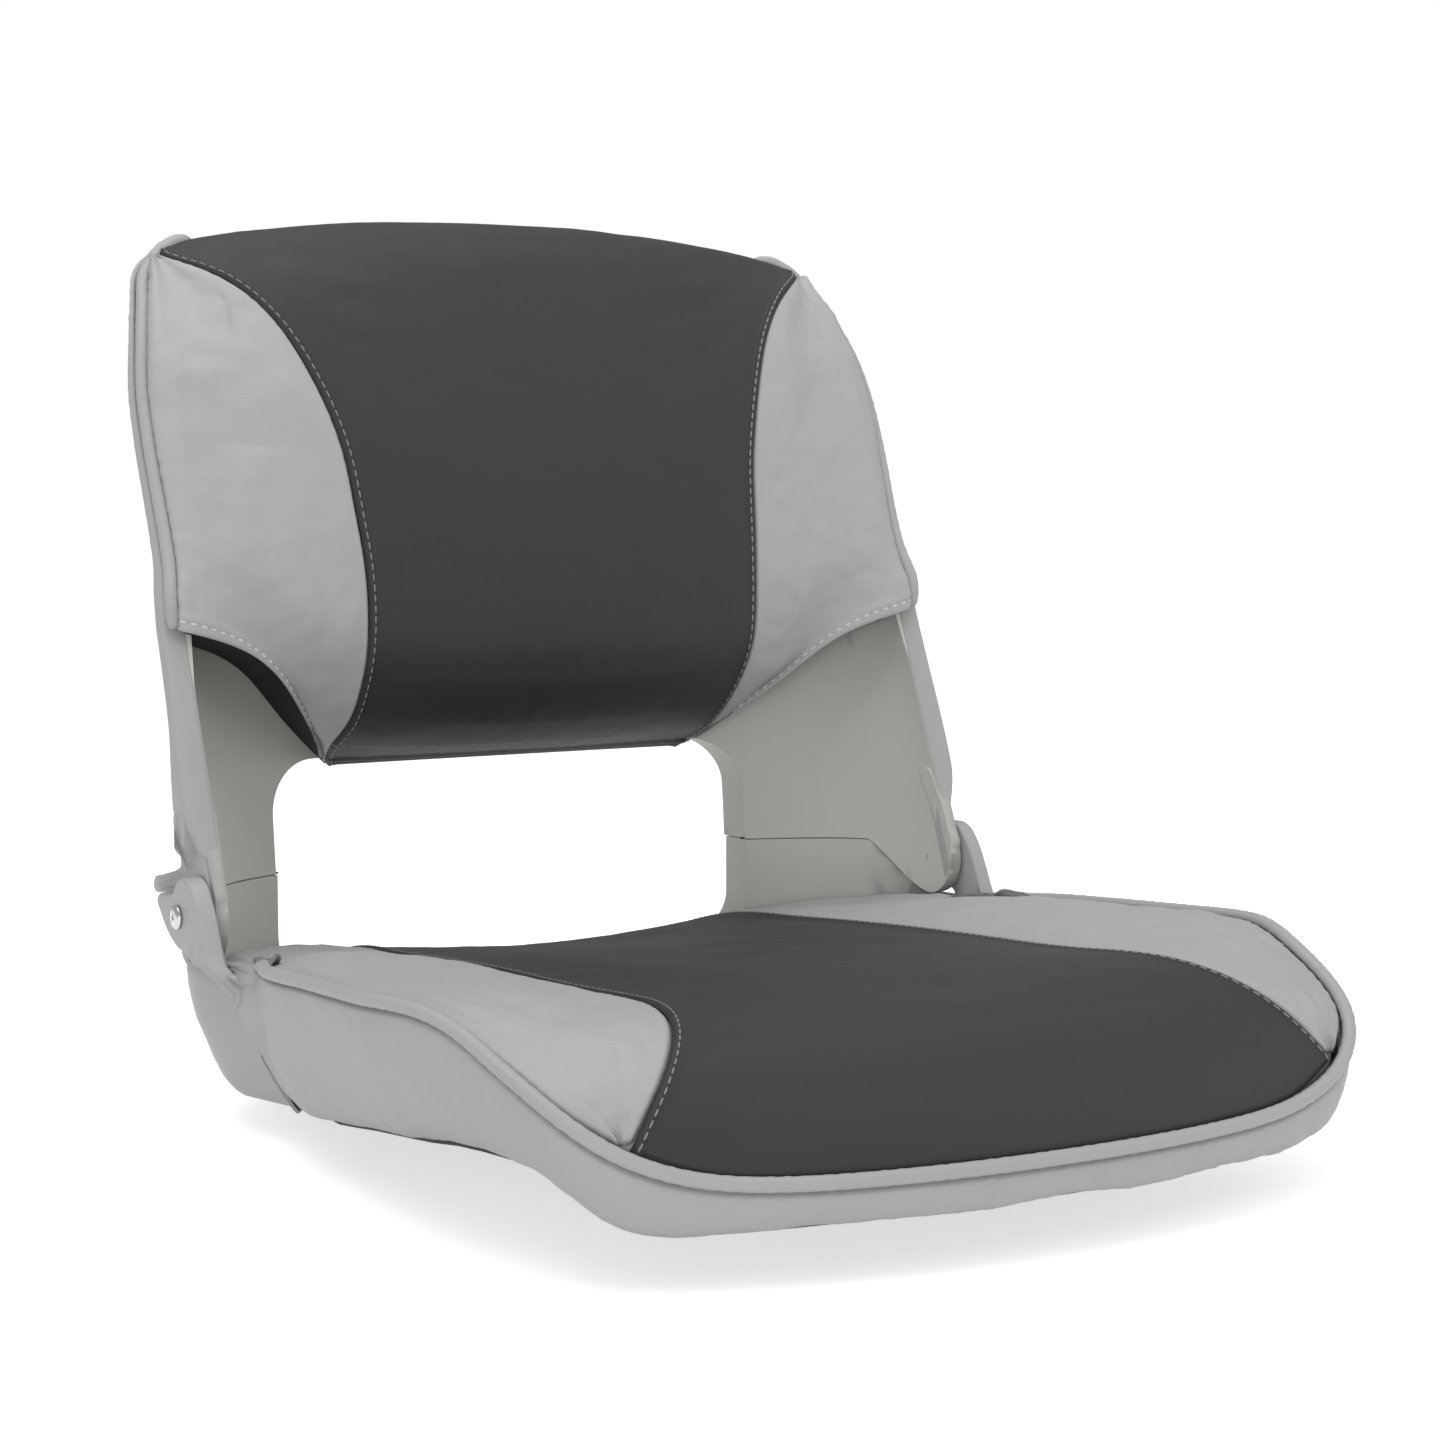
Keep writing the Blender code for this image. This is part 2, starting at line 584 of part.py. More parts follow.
def seat_surface():
    """The seat cover's top as one grid: rear row first, left to right."""
    sizes = (SEAT_HALF, SEAT_FORE, SEAT_DIP)
    shares = even(SIDE_ROWS)
    edge = along(places(SEAT_EDGE_SHARES, sizes), shares)
    seam = along(places(SEAT_SEAM_SHARES, sizes), shares)
    middle = along(places(SEAT_MIDDLE_SHARES, sizes), shares)
    across = np.linspace(-1.0, 1.0, 2 * CENTRE_CELLS + 1)
    side = even(SIDE_CELLS + 1)[1:, None]
    inner_half = BUCKET_HALF - WALL - REST_CLEARANCE
    inner_aft = BUCKET_AFT - WALL - REST_CLEARANCE

    def tucked(up):
        """How far the bucket's rear wall has drawn in at a height."""
        depth = np.clip((POST_TOP - up) / (POST_TOP + BUCKET_DEPTH), 0.0, 1.0)
        return BUCKET_TUCK * (1 - np.sqrt(1 - depth**2))

    rows = []
    for k, share in enumerate(shares):
        lift = ROW_BOW_SHARE + FRONT_BOW_SHARE * share**FRONT_BOW_POWER
        centre_row = bow(middle[k], seam[k], across, ROW_BOW_SHARE, lift)
        side_row = seam[k] + (edge[k] - seam[k]) * side
        side_row[:, 2] += SEAT_BOLSTER * hump(side) * (1 - share**BOLSTER_POWER)
        fit = max(0.0, 1 - share / REAR_FIT_SHARE) ** 2
        if fit:
            draw = tucked(side_row[:, 2])
            start = math.acos(seam[0][0] / (inner_half - tucked(seam[0][2])))
            turn = start * (1 - side[:, 0])
            target = np.stack(((inner_half - draw) * np.cos(turn),
                               BUCKET_STRAIGHT + (inner_aft - draw) * np.sin(turn)), axis=1)
            target[-1] = edge[0][:2]
            ruled = seam[0][:2] + (edge[0][:2] - seam[0][:2]) * side
            side_row[:, :2] += (target - ruled) * fit
            draw = tucked(centre_row[:, 2])
            ratio = across * seam[0][0] / (inner_half - draw)
            wall = BUCKET_STRAIGHT + (inner_aft - draw) * np.sqrt(1 - ratio**2)
            rear = bow(middle[0], seam[0], across, ROW_BOW_SHARE, lift)[:, 1]
            centre_row[:, 1] += (wall - rear) * fit
            side_row[:, :2] += (np.array((0.0, centre_row[-1, 1] - seam[k][1])) * (1 - side))
        rows.append(np.vstack((mirrored(side_row[::-1]), centre_row, side_row)))
    return np.array(rows)


def seat_outline(surface):
    """The seat's right-hand edge from the front middle, round the corner, to the rear."""
    middle = SIDE_CELLS + CENTRE_CELLS
    return np.vstack((surface[-1, middle:middle + CENTRE_CELLS], surface[::-1, -1]))


def inward(outline):
    """Unit vectors into the seat, level and square to an outline that starts at the front."""
    step = np.diff(outline, axis=0)
    step = np.vstack((step[:1] * (1.0, 0.0, 0.0), step, step[-1:]))
    step /= np.linalg.norm(step, axis=1, keepdims=True)
    step = step[:-1] + step[1:]
    for _ in range(2):
        step[1:-1] = step[:-2] / 4 + step[1:-1] / 2 + step[2:] / 4
    vector = np.stack((-step[:, 1], step[:, 0], np.zeros(len(step))), axis=1)
    return vector / np.linalg.norm(vector, axis=1, keepdims=True)


def bucket_columns(surface):
    """The bucket's columns round its right half: rim, inward vector, height, tuck, first turn."""
    outline = seat_outline(surface)
    run = np.concatenate(([0.0], np.cumsum(np.linalg.norm(np.diff(outline, axis=0), axis=1))))
    share = run / run[-1]
    height = table(SEAT_BAND_SHARES, share, 1) * SEAT_BAND_HEIGHT
    tuck = table(SEAT_BAND_SHARES, share, 2) * SEAT_BAND_TUCK
    drop = RIM_DROP + RIM_DROP_SHARE * height
    columns = [(p, n, h, t, math.asin(d / h))
               for p, n, h, t, d in zip(outline, inward(outline), height, tuck, drop)]
    first_tuck = tuck[-1]
    for k in range(REAR_COLUMNS):
        turn = k / (REAR_COLUMNS - 1) * math.pi / 2
        x, y = wall_point(turn, 0.0, BUCKET_STRAIGHT, BUCKET_STRAIGHT + BUCKET_AFT)
        into = -np.array((math.cos(turn) / BUCKET_HALF, math.sin(turn) / BUCKET_AFT, 0.0))
        into /= np.linalg.norm(into)
        blend = math.sin(turn)
        columns.append((np.array((x, y, POST_TOP)), into, POST_TOP + BUCKET_DEPTH,
                        first_tuck + (BUCKET_TUCK - first_tuck) * blend, 0.0))
    return columns, len(outline)


def bucket_half(columns, wall, from_top=False):
    """Points down each right-hand column of the bucket, drawn in and lifted by a wall."""
    middle = np.array((0.0, -DATUM_AFT, 0.0))
    right = []
    for top, into, height, tuck, first in columns:
        turns = np.linspace(first, math.pi / 2, WALL_RINGS)
        if from_top:
            turns = np.concatenate(([0.0], turns))
        points = [top + into * (wall + tuck * (1 - math.cos(a)))
                  - np.array((0, 0, (height - wall) * math.sin(a))) for a in turns]
        base = points[-1]
        fore = max(0.0, min(1.0, (-base[1] / SEAT_FORE - LIP_START) / LIP_RUN))
        for share in FLOOR_RING_SHARES:
            spot = middle + (base - middle) * share
            lip = LIP_RISE * fore * math.sin(math.pi * max(0.0, (share - LIP_INNER) / (1 - LIP_INNER)))
            lowest = wall - BUCKET_DEPTH - BUCKET_FLOOR_DROP
            climb = share**FLOOR_POWER if share > FLOOR_RING_SHARES[-1] else 0.0
            spot[2] = lowest + (base[2] - lowest) * climb + lip
            points.append(spot)
        right.append(points)
    return np.array(right)


def bucket_rings(columns, wall):
    """Closed rings of the bucket's surface, from its rim to its middle."""
    right = bucket_half(columns, wall)
    return np.swapaxes(np.concatenate((right, mirrored(right[-2:0:-1]))), 0, 1)


def bucket_strip(columns, wall, from_top=False):
    """The same surface as an open strip round the front, from one rear corner to the other."""
    right = bucket_half(columns, wall, from_top)
    return np.concatenate((mirrored(right[:0:-1]), right))


def vessel_room(columns, wall):
    """The space above the bucket's surface at a depth in its wall, closed by a lid."""
    rings = bucket_rings(columns, wall)
    lid = rings[0].copy()
    lid[:, 2] = POST_TOP + OVERRUN
    return capped(np.concatenate((lid[None], rings)))


def lumbar_cutter(grow=0.0):
    outline = rounded_rectangle(LUMBAR_HALF + grow, -LUMBAR_LOW - grow, LUMBAR_HIGH + grow,
                                LUMBAR_RADIUS + grow)
    return prism(outline, BUCKET_STRAIGHT, BACK_AFT + OVERRUN)


def pocket_outline(clearance):
    """The room that the ear turns in, as (aft, up): its round, a tangent and the parting line."""
    radius = EAR_RADIUS + clearance
    turns = np.linspace(-math.pi / 2, -math.pi / 4, POCKET_POINTS)
    arc = [(PIVOT_AFT + radius * math.cos(a), PIVOT_RISE + radius * math.sin(a)) for a in turns]
    rise = POST_TOP - arc[-1][1]
    end = (arc[-1][0] + rise + clearance, POST_TOP + clearance)
    return arc + [end, (end[0], POST_TOP + OVERRUN), (-OVERRUN, POST_TOP + OVERRUN), (-OVERRUN, arc[0][1])]


def lumbar_rim(thick):
    """The rearward rim round the lumbar opening, as deep as a thick copy of the wall."""
    ring = combined(lumbar_cutter(LUMBAR_RETURN_WALL), [lumbar_cutter()], "DIFFERENCE")
    return combined(ring, [thick], "INTERSECT")


def bucket_shell(columns):
    """The moulded bucket: bowl, posts with rims, hinge lugs and the ribbed mounting grid."""
    outer, inner = bucket_rings(columns, 0.0), bucket_rings(columns, WALL)
    thick = bowl(bucket_rings(columns, -LUMBAR_RETURN), bucket_rings(columns, WALL / 2))
    shell = combined(bowl(outer, inner), [lumbar_rim(thick)], "UNION")
    cuts = [lumbar_cutter()]
    for side in (1, -1):
        cuts.append(plate(pocket_outline(POCKET_CLEARANCE), side * (LUMBAR_HALF + OVERRUN),
                          side * (LUG_INNER + OVERRUN)))
    shell = combined(shell, cuts, "DIFFERENCE")
    room = vessel_room(columns, WALL / 2)

    extras = []
    pivot = np.array((PIVOT_AFT, PIVOT_RISE))
    for side in (1, -1):
        extras.append(plate(pivot + np.array(LUG_SHARES) * LUG_REACH, side * LUG_INNER,
                            side * (LUG_INNER + LUG_THICKNESS), LUG_DRAFT))
        extras.append(plate(pivot + np.array(FOOT_SHARES) * LUG_REACH, side * (LUG_INNER - OVERRUN),
                            side * (LUG_INNER + LUG_THICKNESS / 2), LUG_DRAFT))
    floor = -DATUM_HEIGHT
    high = -BUCKET_DEPTH
    aft = -DATUM_AFT
    frame = rounded_rectangle(MOUNT_HALF, aft - MOUNT_HALF, aft + MOUNT_HALF, BOSS_RADIUS,
                              MOUNT_CORNER_POINTS)
    inner = MOUNT_HALF - MOUNT_RIB
    inside = rounded_rectangle(inner, aft - inner, aft + inner, BOSS_RADIUS - MOUNT_RIB,
                               MOUNT_CORNER_POINTS)
    rim = combined(prism(frame, floor, high, "Z"),
                   [prism(inside, floor - OVERRUN, high + OVERRUN, "Z")], "DIFFERENCE")
    extras.append(rim)
    turns = np.arange(ROUND_SIDES) * math.tau / ROUND_SIDES
    hub = [(MOUNT_HUB_RADIUS * math.cos(a), aft + MOUNT_HUB_RADIUS * math.sin(a)) for a in turns]
    extras.append(prism(hub, floor, high, "Z"))
    half = MOUNT_PITCH / 2
    for x in (-half, half):
        for y in (-half, half):
            boss = [(x + BOSS_RADIUS * math.cos(a), aft + y + BOSS_RADIUS * math.sin(a)) for a in turns]
            extras.append(prism(boss, floor, high, "Z"))
    thin, reach = MOUNT_RIB / 2, MOUNT_HALF - MOUNT_RIB / 2
    for place in [half * share for share in LENGTHWISE_RIB_SHARES]:
        rib = [(place - thin, aft - reach), (place + thin, aft - reach),
               (place + thin, aft + reach), (place - thin, aft + reach)]
        extras.append(prism(rib, floor + RIB_STEP, high + RIB_STEP, "Z"))
    for place in [half * share for share in CROSSWISE_RIB_SHARES]:
        rib = [(-reach, aft + place - thin), (reach, aft + place - thin),
               (reach, aft + place + thin), (-reach, aft + place + thin)]
        extras.append(prism(rib, floor + 2 * RIB_STEP, high + 2 * RIB_STEP, "Z"))
    added = combined(extras[0], extras[1:], "UNION")
    added = combined(added, [room], "DIFFERENCE")
    bores = []
    for side in (1, -1):
        bores.append(turned([(HINGE_BORE, LUG_INNER - OVERRUN / 2), (HINGE_BORE, LUG_INNER + OVERRUN)],
                            PIVOT_AFT, PIVOT_RISE, side))
    for x in (-half, half):
        for y in (-half, half):
            bore = [(x + (MOUNT_INSERT_RADIUS + GAP) * math.cos(a),
                     aft + y + (MOUNT_INSERT_RADIUS + GAP) * math.sin(a)) for a in turns]
            bores.append(prism(bore, floor - OVERRUN, floor + MOUNT_INSERT_DEPTH + GAP, "Z"))
    return combined(combined(shell, [added], "UNION"), bores, "DIFFERENCE")


def seat_pieces(body):
    """Everything that stays with the bucket."""
    surface = seat_surface()
    columns, edge_count = bucket_columns(surface)
    piece("seat_shell", bucket_shell(columns), SHELL_FINISH, body)

    out = normals(surface) + np.array((0.0, 0.0, SEAT_UPRIGHT_SHARE))
    out /= np.linalg.norm(out, axis=2, keepdims=True)
    first, last = SIDE_CELLS, SIDE_CELLS + 2 * CENTRE_CELLS
    centre = surface[:, first:last + 1]
    centre = pulled(pulled(centre, "first_column", GAP / 2), "last_column", GAP / 2)
    centre = pulled(centre, "last_row", PIPING_RADIUS + GAP)
    piece("seat_centre_panel", sheet(centre, -VINYL, 0.0, out[:, first:last + 1]), CHARCOAL_FINISH, body)
    for name, part, seam, rim in (
            ("seat_side_panel_left", slice(last, None), "first_column", "last_column"),
            ("seat_side_panel_right", slice(0, first + 1), "last_column", "first_column")):
        panel = surface[:, part].copy()
        panel[-1] = panel[-2] + (panel[-1] - panel[-2]) * SEAT_TIP_SHARE
        panel = pulled(pulled(panel, seam, GAP / 2), rim, PIPING_RADIUS + 2 * GAP)
        piece(name, sheet(panel, -VINYL, 0.0, out[:, part]), GREY_FINISH, body)

    top = surface + DATUM - out * (VINYL + FOAM_CLEARANCE)
    under = top.copy()
    under[:, :, 2] = -OVERRUN
    room = vessel_room(columns, WALL + GAP)
    piece("seat_foam", combined(slab(top, under), [room], "INTERSECT"), FOAM_FINISH, body)

    strips = [bucket_strip(columns[:edge_count], wall, True)[:, :WALL_RINGS + 1]
              for wall in (-GAP, -GAP - VINYL)]
    strips[1][:, -1, 2] = strips[0][:, -1, 2]
    drawn = [pulled(strip, "first_column", PIPING_RADIUS + GAP) + DATUM for strip in strips]
    piece("seat_boxing_band", slab(drawn[0], drawn[1]), BAND_FINISH, body)

    outline = seat_outline(surface)
    path = np.vstack((mirrored(outline[:0:-1]), outline))
    piece("seat_piping", tube(path, PIPING_RADIUS, TUBE_SIDES), PIPING_FINISH, body)
    retainer(columns[:edge_count], body)


def retainer(columns, body):
    """The black strip under the bucket's edge that holds the cover's hem."""
    strip = bucket_strip(columns, -COVER_EASE - GAP)
    edge, floor = strip[:, WALL_RINGS - 1], strip[:, WALL_RINGS]
    inner = floor - edge
    inner /= np.linalg.norm(inner, axis=1, keepdims=True)
    near = edge + inner * RETAINER_INSET
    far = edge + inner * (RETAINER_INSET + RETAINER_WIDTH)
    lower = np.array((0.0, 0.0, RETAINER_THICKNESS))
    top = np.stack((near, far), axis=1)
    piece("seat_retainer_strip", slab(top + DATUM - lower, top + DATUM), RETAINER_FINISH, body)


def back_surface():
    """The backrest cover's front as one grid: the top corners' row first, left to right."""
    sizes = (BACK_HALF, BACK_AFT, BACK_CREST)
    shares = even(SIDE_ROWS)
    edge = along(places(BACK_EDGE_SHARES, sizes), shares)
    seam = along(places(BACK_SEAM_SHARES, sizes), shares)
    middle = along(places(BACK_MIDDLE_SHARES, sizes), shares)
    across = np.linspace(-1.0, 1.0, 2 * CENTRE_CELLS + 1)
    side = even(SIDE_CELLS + 1)[1:, None]
    rows = []
    for k, share in enumerate(shares):
        centre_row = bow(middle[k], seam[k], across, BACK_BOW_SHARE)
        side_row = seam[k] + (edge[k] - seam[k]) * side
        hem = BACK_HEM_BULGE * share**HEM_POWER
        side_row[:, 1] -= hump(side) * (BACK_SIDE_BULGE * share + hem)
        side_row[:, 2] += hump(side) * hem
        rows.append(np.vstack((mirrored(side_row[::-1]), centre_row, side_row)))
    return np.array(rows)


def back_rear_edge(edge):
    """Where the side band meets the rear panel: behind the front edge and a little inside it."""
    points = edge.copy()
    points[:, 0] -= BACK_BAND_INSET
    points[:, 1] += np.linspace(BACK_BAND_TOP, BACK_BAND_LOW, len(edge))
    return points


def wall_face(offset):
    """The backrest wall's surface at an offset from its rear face: rows of height, bottom first."""
    turns = np.linspace(0.0, math.pi, BACK_COLUMNS + 1)
    low = POST_TOP + GAP
    shoulder = BACK_SHOULDER_DROP * np.abs(np.cos(turns)) ** SHOULDER_BOW_SHARE
    heights = low + (BACK_TOP - shoulder - low)[None, :] * even(BACK_SHELL_ROWS)[:, None]
    side = leg_line(heights)
    across = (back_half(heights) + offset) * np.cos(turns)
    aft = side + (BACK_CENTRE_AFT + WALL + offset - side) * np.sin(turns)
    return DATUM + np.stack((across, aft, heights), axis=2)


def back_shell():
    """The moulded backrest: curved wall, rims round the lumbar opening, side flanges with the
    hinge ears, and the stops that rest on the lugs."""
    thick = slab(wall_face(LUMBAR_RETURN), wall_face(-WALL / 2))
    shell = combined(slab(wall_face(0.0), wall_face(-WALL)), [lumbar_rim(thick)], "UNION")
    shell = combined(shell, [lumbar_cutter()], "DIFFERENCE")
    bores = []
    for side in (1, -1):
        shell = combined(shell, [flange(side), ear(side), stop(side)], "UNION")
        hole = [(PIN_HOLE_RADIUS, EAR_INNER - OVERRUN), (PIN_HOLE_RADIUS, LUG_INNER)]
        seat = [(INSERT_RADIUS + GAP, EAR_INNER + WALL / 2), (INSERT_RADIUS + GAP, LUG_INNER + OVERRUN)]
        bores.append(turned(hole, PIVOT_AFT, PIVOT_RISE, side, TUBE_SIDES))
        bores.append(turned(seat, PIVOT_AFT, PIVOT_RISE, side))
    return combined(shell, bores, "DIFFERENCE")


def flange(side):
    """The front flange down one leg: a loft of rounded rectangles along the leaning edge."""
    rings = []
    for rise, width, depth in FLANGE_SHARES:
        up = FLANGE_LOW + rise * FLANGE_RISE
        fore = leg_line(up) - FLANGE_PROUD
        inner = EAR_INNER + FLANGE_PROUD
        outer = EAR_INNER + width * FLANGE_WIDTH
        deep = depth * FLANGE_DEPTH
        soft = min(width * FLANGE_WIDTH, deep) / 3
        rings.append([(side * x, y, up) for x, y in (
            (inner, fore), (outer - soft, fore), (outer, fore + soft), (outer, fore + deep - soft),
            (outer - soft, fore + deep), (inner, fore + deep))])
    return capped(np.array(rings))


def ear(side):
    """The ear that carries the pivot: a round plate that runs up into the leg."""
    turns = np.linspace(-math.pi, 0.0, EAR_POINTS)
    outline = [(PIVOT_AFT + EAR_RADIUS * math.cos(a), PIVOT_RISE + EAR_RADIUS * math.sin(a)) for a in turns]
    top = POST_TOP + STOP_HEIGHT
    outline += [(PIVOT_AFT + EAR_RADIUS + WALL, top), (leg_line(top) + WALL / 2, top)]
    return plate(outline, side * EAR_INNER, side * (LUG_INNER - POCKET_CLEARANCE / 2))


def stop(side):
    """The ledge that rests on the lug's shoulder when the backrest is up."""
    outline = [(PIVOT_AFT + a * STOP_REACH, PIVOT_RISE + u * STOP_HEIGHT) for a, u in STOP_SHARES]
    outer = LUG_INNER + LUG_THICKNESS - LUG_DRAFT
    return plate(outline, side * (EAR_INNER + WALL), side * outer, LUG_DRAFT)


def back_pieces(body):
    """Everything that folds forward."""
    piece("back_shell", back_shell(), SHELL_FINISH, body)
    surface = back_surface()
    out = normals(surface)
    first, last = SIDE_CELLS, SIDE_CELLS + 2 * CENTRE_CELLS
    sizes = (BACK_HALF, BACK_AFT, BACK_CREST)
    across = np.linspace(-1.0, 1.0, 2 * CENTRE_CELLS + 1)
    crest_middle = places(BACK_CROWN_MIDDLE_SHARES, sizes)
    crest_corner = places(BACK_CROWN_CORNER_SHARES, sizes)
    crown = [bow(m, c, across, BACK_BOW_SHARE) for m, c in zip(crest_middle, crest_corner)]
    centre = np.concatenate((np.array(crown), surface[:, first:last + 1]))
    whole = normals(centre)
    whole[len(crown):] = out[:, first:last + 1]
    centre = pulled(pulled(centre, "first_column", GAP / 2), "last_column", GAP / 2)
    piece("back_centre_panel", sheet(centre, -VINYL, 0.0, whole), CHARCOAL_FINISH, body)
    for name, part, seam, rim in (
            ("back_side_panel_left", slice(last, None), "first_column", "last_column"),
            ("back_side_panel_right", slice(0, first + 1), "last_column", "first_column")):
        panel = pulled(pulled(surface[:, part], seam, GAP / 2), rim, PIPING_RADIUS + GAP)
        piece(name, sheet(panel, -VINYL, 0.0, out[:, part]), GREY_FINISH, body)

    edge = surface[:, -1]
    rear = back_rear_edge(edge)
    shares = even(BAND_CELLS + 1)[None, :, None]
    band = edge[:, None, :] + (rear - edge)[:, None, :] * shares
    band[:, :, 0] += BACK_BAND_BULGE * np.sin(math.pi * shares[:, :, 0])
    skin = normals(band) * VINYL
    for name, side in (("back_side_band_left", 1), ("back_side_band_right", -1)):
        near = pulled(pulled(band, "first_column", PIPING_RADIUS + GAP), "first_row", PIPING_RADIUS)
        faces = [near * (side, 1, 1) + DATUM, (near - skin) * (side, 1, 1) + DATUM]
        piece(name, slab(*faces), BAND_FINISH, body)
    for name, side in (("back_piping_left", 1), ("back_piping_right", -1)):
        piece(name, tube(edge * (side, 1, 1), PIPING_RADIUS, TUBE_SIDES), PIPING_FINISH, body)

    width = np.sin(np.linspace(-1.0, 1.0, REAR_PANEL_COLUMNS) * math.pi / 2)[None, :]
    half = rear[:, :1] - VINYL - 2 * GAP
    crest, corner = crown[0][CENTRE_CELLS, 2] - 2 * GAP, crown[0][-1, 2] - 2 * GAP
    middle = np.linspace(crest, REAR_HEM, SIDE_ROWS)[:, None]
    outer = rear[:, 2:] + (corner - rear[0, 2]) * (1 - even(SIDE_ROWS)[:, None])
    power = np.linspace(BACK_BOW_SHARE, BACK_HEM_BOW_SHARE, SIDE_ROWS)[:, None]
    up = middle + (outer - middle) * np.abs(width) ** power
    x = half * width
    aft = back_wall(x, up, 0.0) + 2 * COVER_EASE
    aft += (rear[:, 1:2] - VINYL - aft[:, -1:]) * np.abs(width) ** REAR_EDGE_POWER
    sheets = [np.stack((x, aft + thick, up), axis=2) + DATUM for thick in (0.0, VINYL)]
    piece("back_rear_panel", slab(*sheets), BAND_FINISH, body)

    front = surface + DATUM - out * (VINYL + FOAM_CLEARANCE)
    behind = front.copy()
    behind[:, :, 1] = BACK_AFT + OVERRUN
    border = np.vstack((surface[::-1, -1], surface[0, -2:0:-1], surface[:, 0], surface[-1, 1:-1]))
    frame = drawn_in(border[:, (0, 2)], PIPING_RADIUS + FOAM_CLEARANCE)
    shell_face = wall_face(-WALL - GAP)
    ahead = shell_face.copy()
    ahead[:, :, 1] = -BACK_AFT
    room = slab(shell_face, ahead)
    cuts = [room, prism(frame, -OVERRUN, BACK_AFT + 2 * OVERRUN)]
    piece("back_foam", combined(slab(front, behind), cuts, "INTERSECT"), FOAM_FINISH, body)


def hinge_hardware(seat, back):
    """Per side: a screw through the lug and its flanged bush into the insert in the ear."""
    ear_face = LUG_INNER - POCKET_CLEARANCE / 2
    lug_face = LUG_INNER + LUG_THICKNESS
    place = np.array((0.0, PIVOT_AFT, PIVOT_RISE))
    tip = EAR_INNER + WALL
    for name, side in (("left", 1), ("right", -1)):
        head = lug_face + GAP
        shank = [(SCREW_RADIUS, tip + GAP), (SCREW_RADIUS, head)]
        shank += [(SCREW_HEAD_RADIUS * wide, head + SCREW_HEAD_HEIGHT * high)
                  for wide, high in SCREW_HEAD_SHARES]
        screw = turned(shank, PIVOT_AFT, PIVOT_RISE, side)
        piece(f"hinge_screw_{name}", screw, STEEL_FINISH, seat)
        sleeve = [(HINGE_BORE - GAP, side * LUG_INNER), (HINGE_BORE - GAP, side * (lug_face - GAP))]
        bush = ring_turned(BUSH_BORE, sleeve, place, "X")
        piece(f"hinge_bush_{name}", bush, NYLON_FINISH, seat)
        barrel = [(INSERT_RADIUS, side * tip), (INSERT_RADIUS, side * (ear_face - GAP))]
        insert = ring_turned(BUSH_BORE, barrel, place, "X")
        piece(f"hinge_insert_{name}", insert, BRASS_FINISH, back)


def mounting_inserts(body):
    half = MOUNT_PITCH / 2
    spots = {"front_left": (half, -half), "front_right": (-half, -half),
             "rear_left": (half, half), "rear_right": (-half, half)}
    profile = [(MOUNT_INSERT_RADIUS, 0.0), (MOUNT_INSERT_RADIUS, MOUNT_INSERT_DEPTH)]
    for name, (x, y) in spots.items():
        place = np.array((x, y, 0.0)) - DATUM
        insert = ring_turned(MOUNT_INSERT_BORE, profile, place, "Z")
        piece(f"mounting_insert_{name}", insert, BRASS_FINISH, body)


def main():
    for old in list(bpy.data.objects):
        bpy.data.objects.remove(old, do_unlink=True)
    seat = bpy.data.objects.new("seat", None)
    back = bpy.data.objects.new("backrest", None)
    for body in (seat, back):
        bpy.context.collection.objects.link(body)
    back.location = DATUM + np.array((0.0, PIVOT_AFT, PIVOT_RISE))
    bpy.context.view_layer.update()
    seat_pieces(seat)
    back_pieces(back)
    hinge_hardware(seat, back)
    mounting_inserts(seat)


main()
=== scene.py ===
"""The looks of the folding boat seat: sewn vinyl covers over soft pads, moulded shells, hinges
and screws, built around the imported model. Lengths are in metres, +Z up, the sitter faces -Y."""

import math

import bmesh
import bpy
import numpy as np
from mathutils.bvhtree import BVHTree
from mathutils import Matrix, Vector, noise


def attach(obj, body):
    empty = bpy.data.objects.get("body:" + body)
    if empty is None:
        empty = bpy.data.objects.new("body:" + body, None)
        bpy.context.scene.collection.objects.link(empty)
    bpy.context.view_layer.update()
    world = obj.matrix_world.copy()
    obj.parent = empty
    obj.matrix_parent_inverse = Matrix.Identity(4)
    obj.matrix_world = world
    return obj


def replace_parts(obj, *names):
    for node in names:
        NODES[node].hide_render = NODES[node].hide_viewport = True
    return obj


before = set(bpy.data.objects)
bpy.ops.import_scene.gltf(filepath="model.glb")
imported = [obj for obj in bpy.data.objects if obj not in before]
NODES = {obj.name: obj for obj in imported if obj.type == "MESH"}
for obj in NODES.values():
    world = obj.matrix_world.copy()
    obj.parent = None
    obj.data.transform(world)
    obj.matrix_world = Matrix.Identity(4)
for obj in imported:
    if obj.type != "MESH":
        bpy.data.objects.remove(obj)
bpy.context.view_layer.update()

# Camera
CAMERA_PLACE = (-0.7036, -1.2324, 0.3186)
CAMERA_AZIMUTH = math.radians(-30.199)
CAMERA_ELEVATION = math.radians(5.137)
CAMERA_LENS = 75.0
FLOOR_GLOW = 0.60
SKY_STRENGTH = 0.48

# Stock
VINYL = 0.0012
PIPING = 0.0030
PANEL_STEP = 0.0024
PAD_VOXEL = 0.0050
STITCH_PITCH = 0.0052
STITCH_LENGTH = 0.0040
THREAD = 0.00042


# Camera and light
def set_camera():
    made = bpy.data.cameras.new("camera")
    made.lens = CAMERA_LENS
    made.sensor_width = 36.0
    made.clip_start, made.clip_end = 0.05, 50.0
    seen = bpy.data.objects.new("camera", made)
    bpy.context.scene.collection.objects.link(seen)
    a, e = CAMERA_AZIMUTH, CAMERA_ELEVATION
    back = Vector((math.sin(a) * math.cos(e), -math.cos(a) * math.cos(e), math.sin(e)))
    seen.location = CAMERA_PLACE
    seen.rotation_mode = "QUATERNION"
    seen.rotation_quaternion = (-back).to_track_quat("-Z", "Y")
    bpy.context.scene.camera = seen


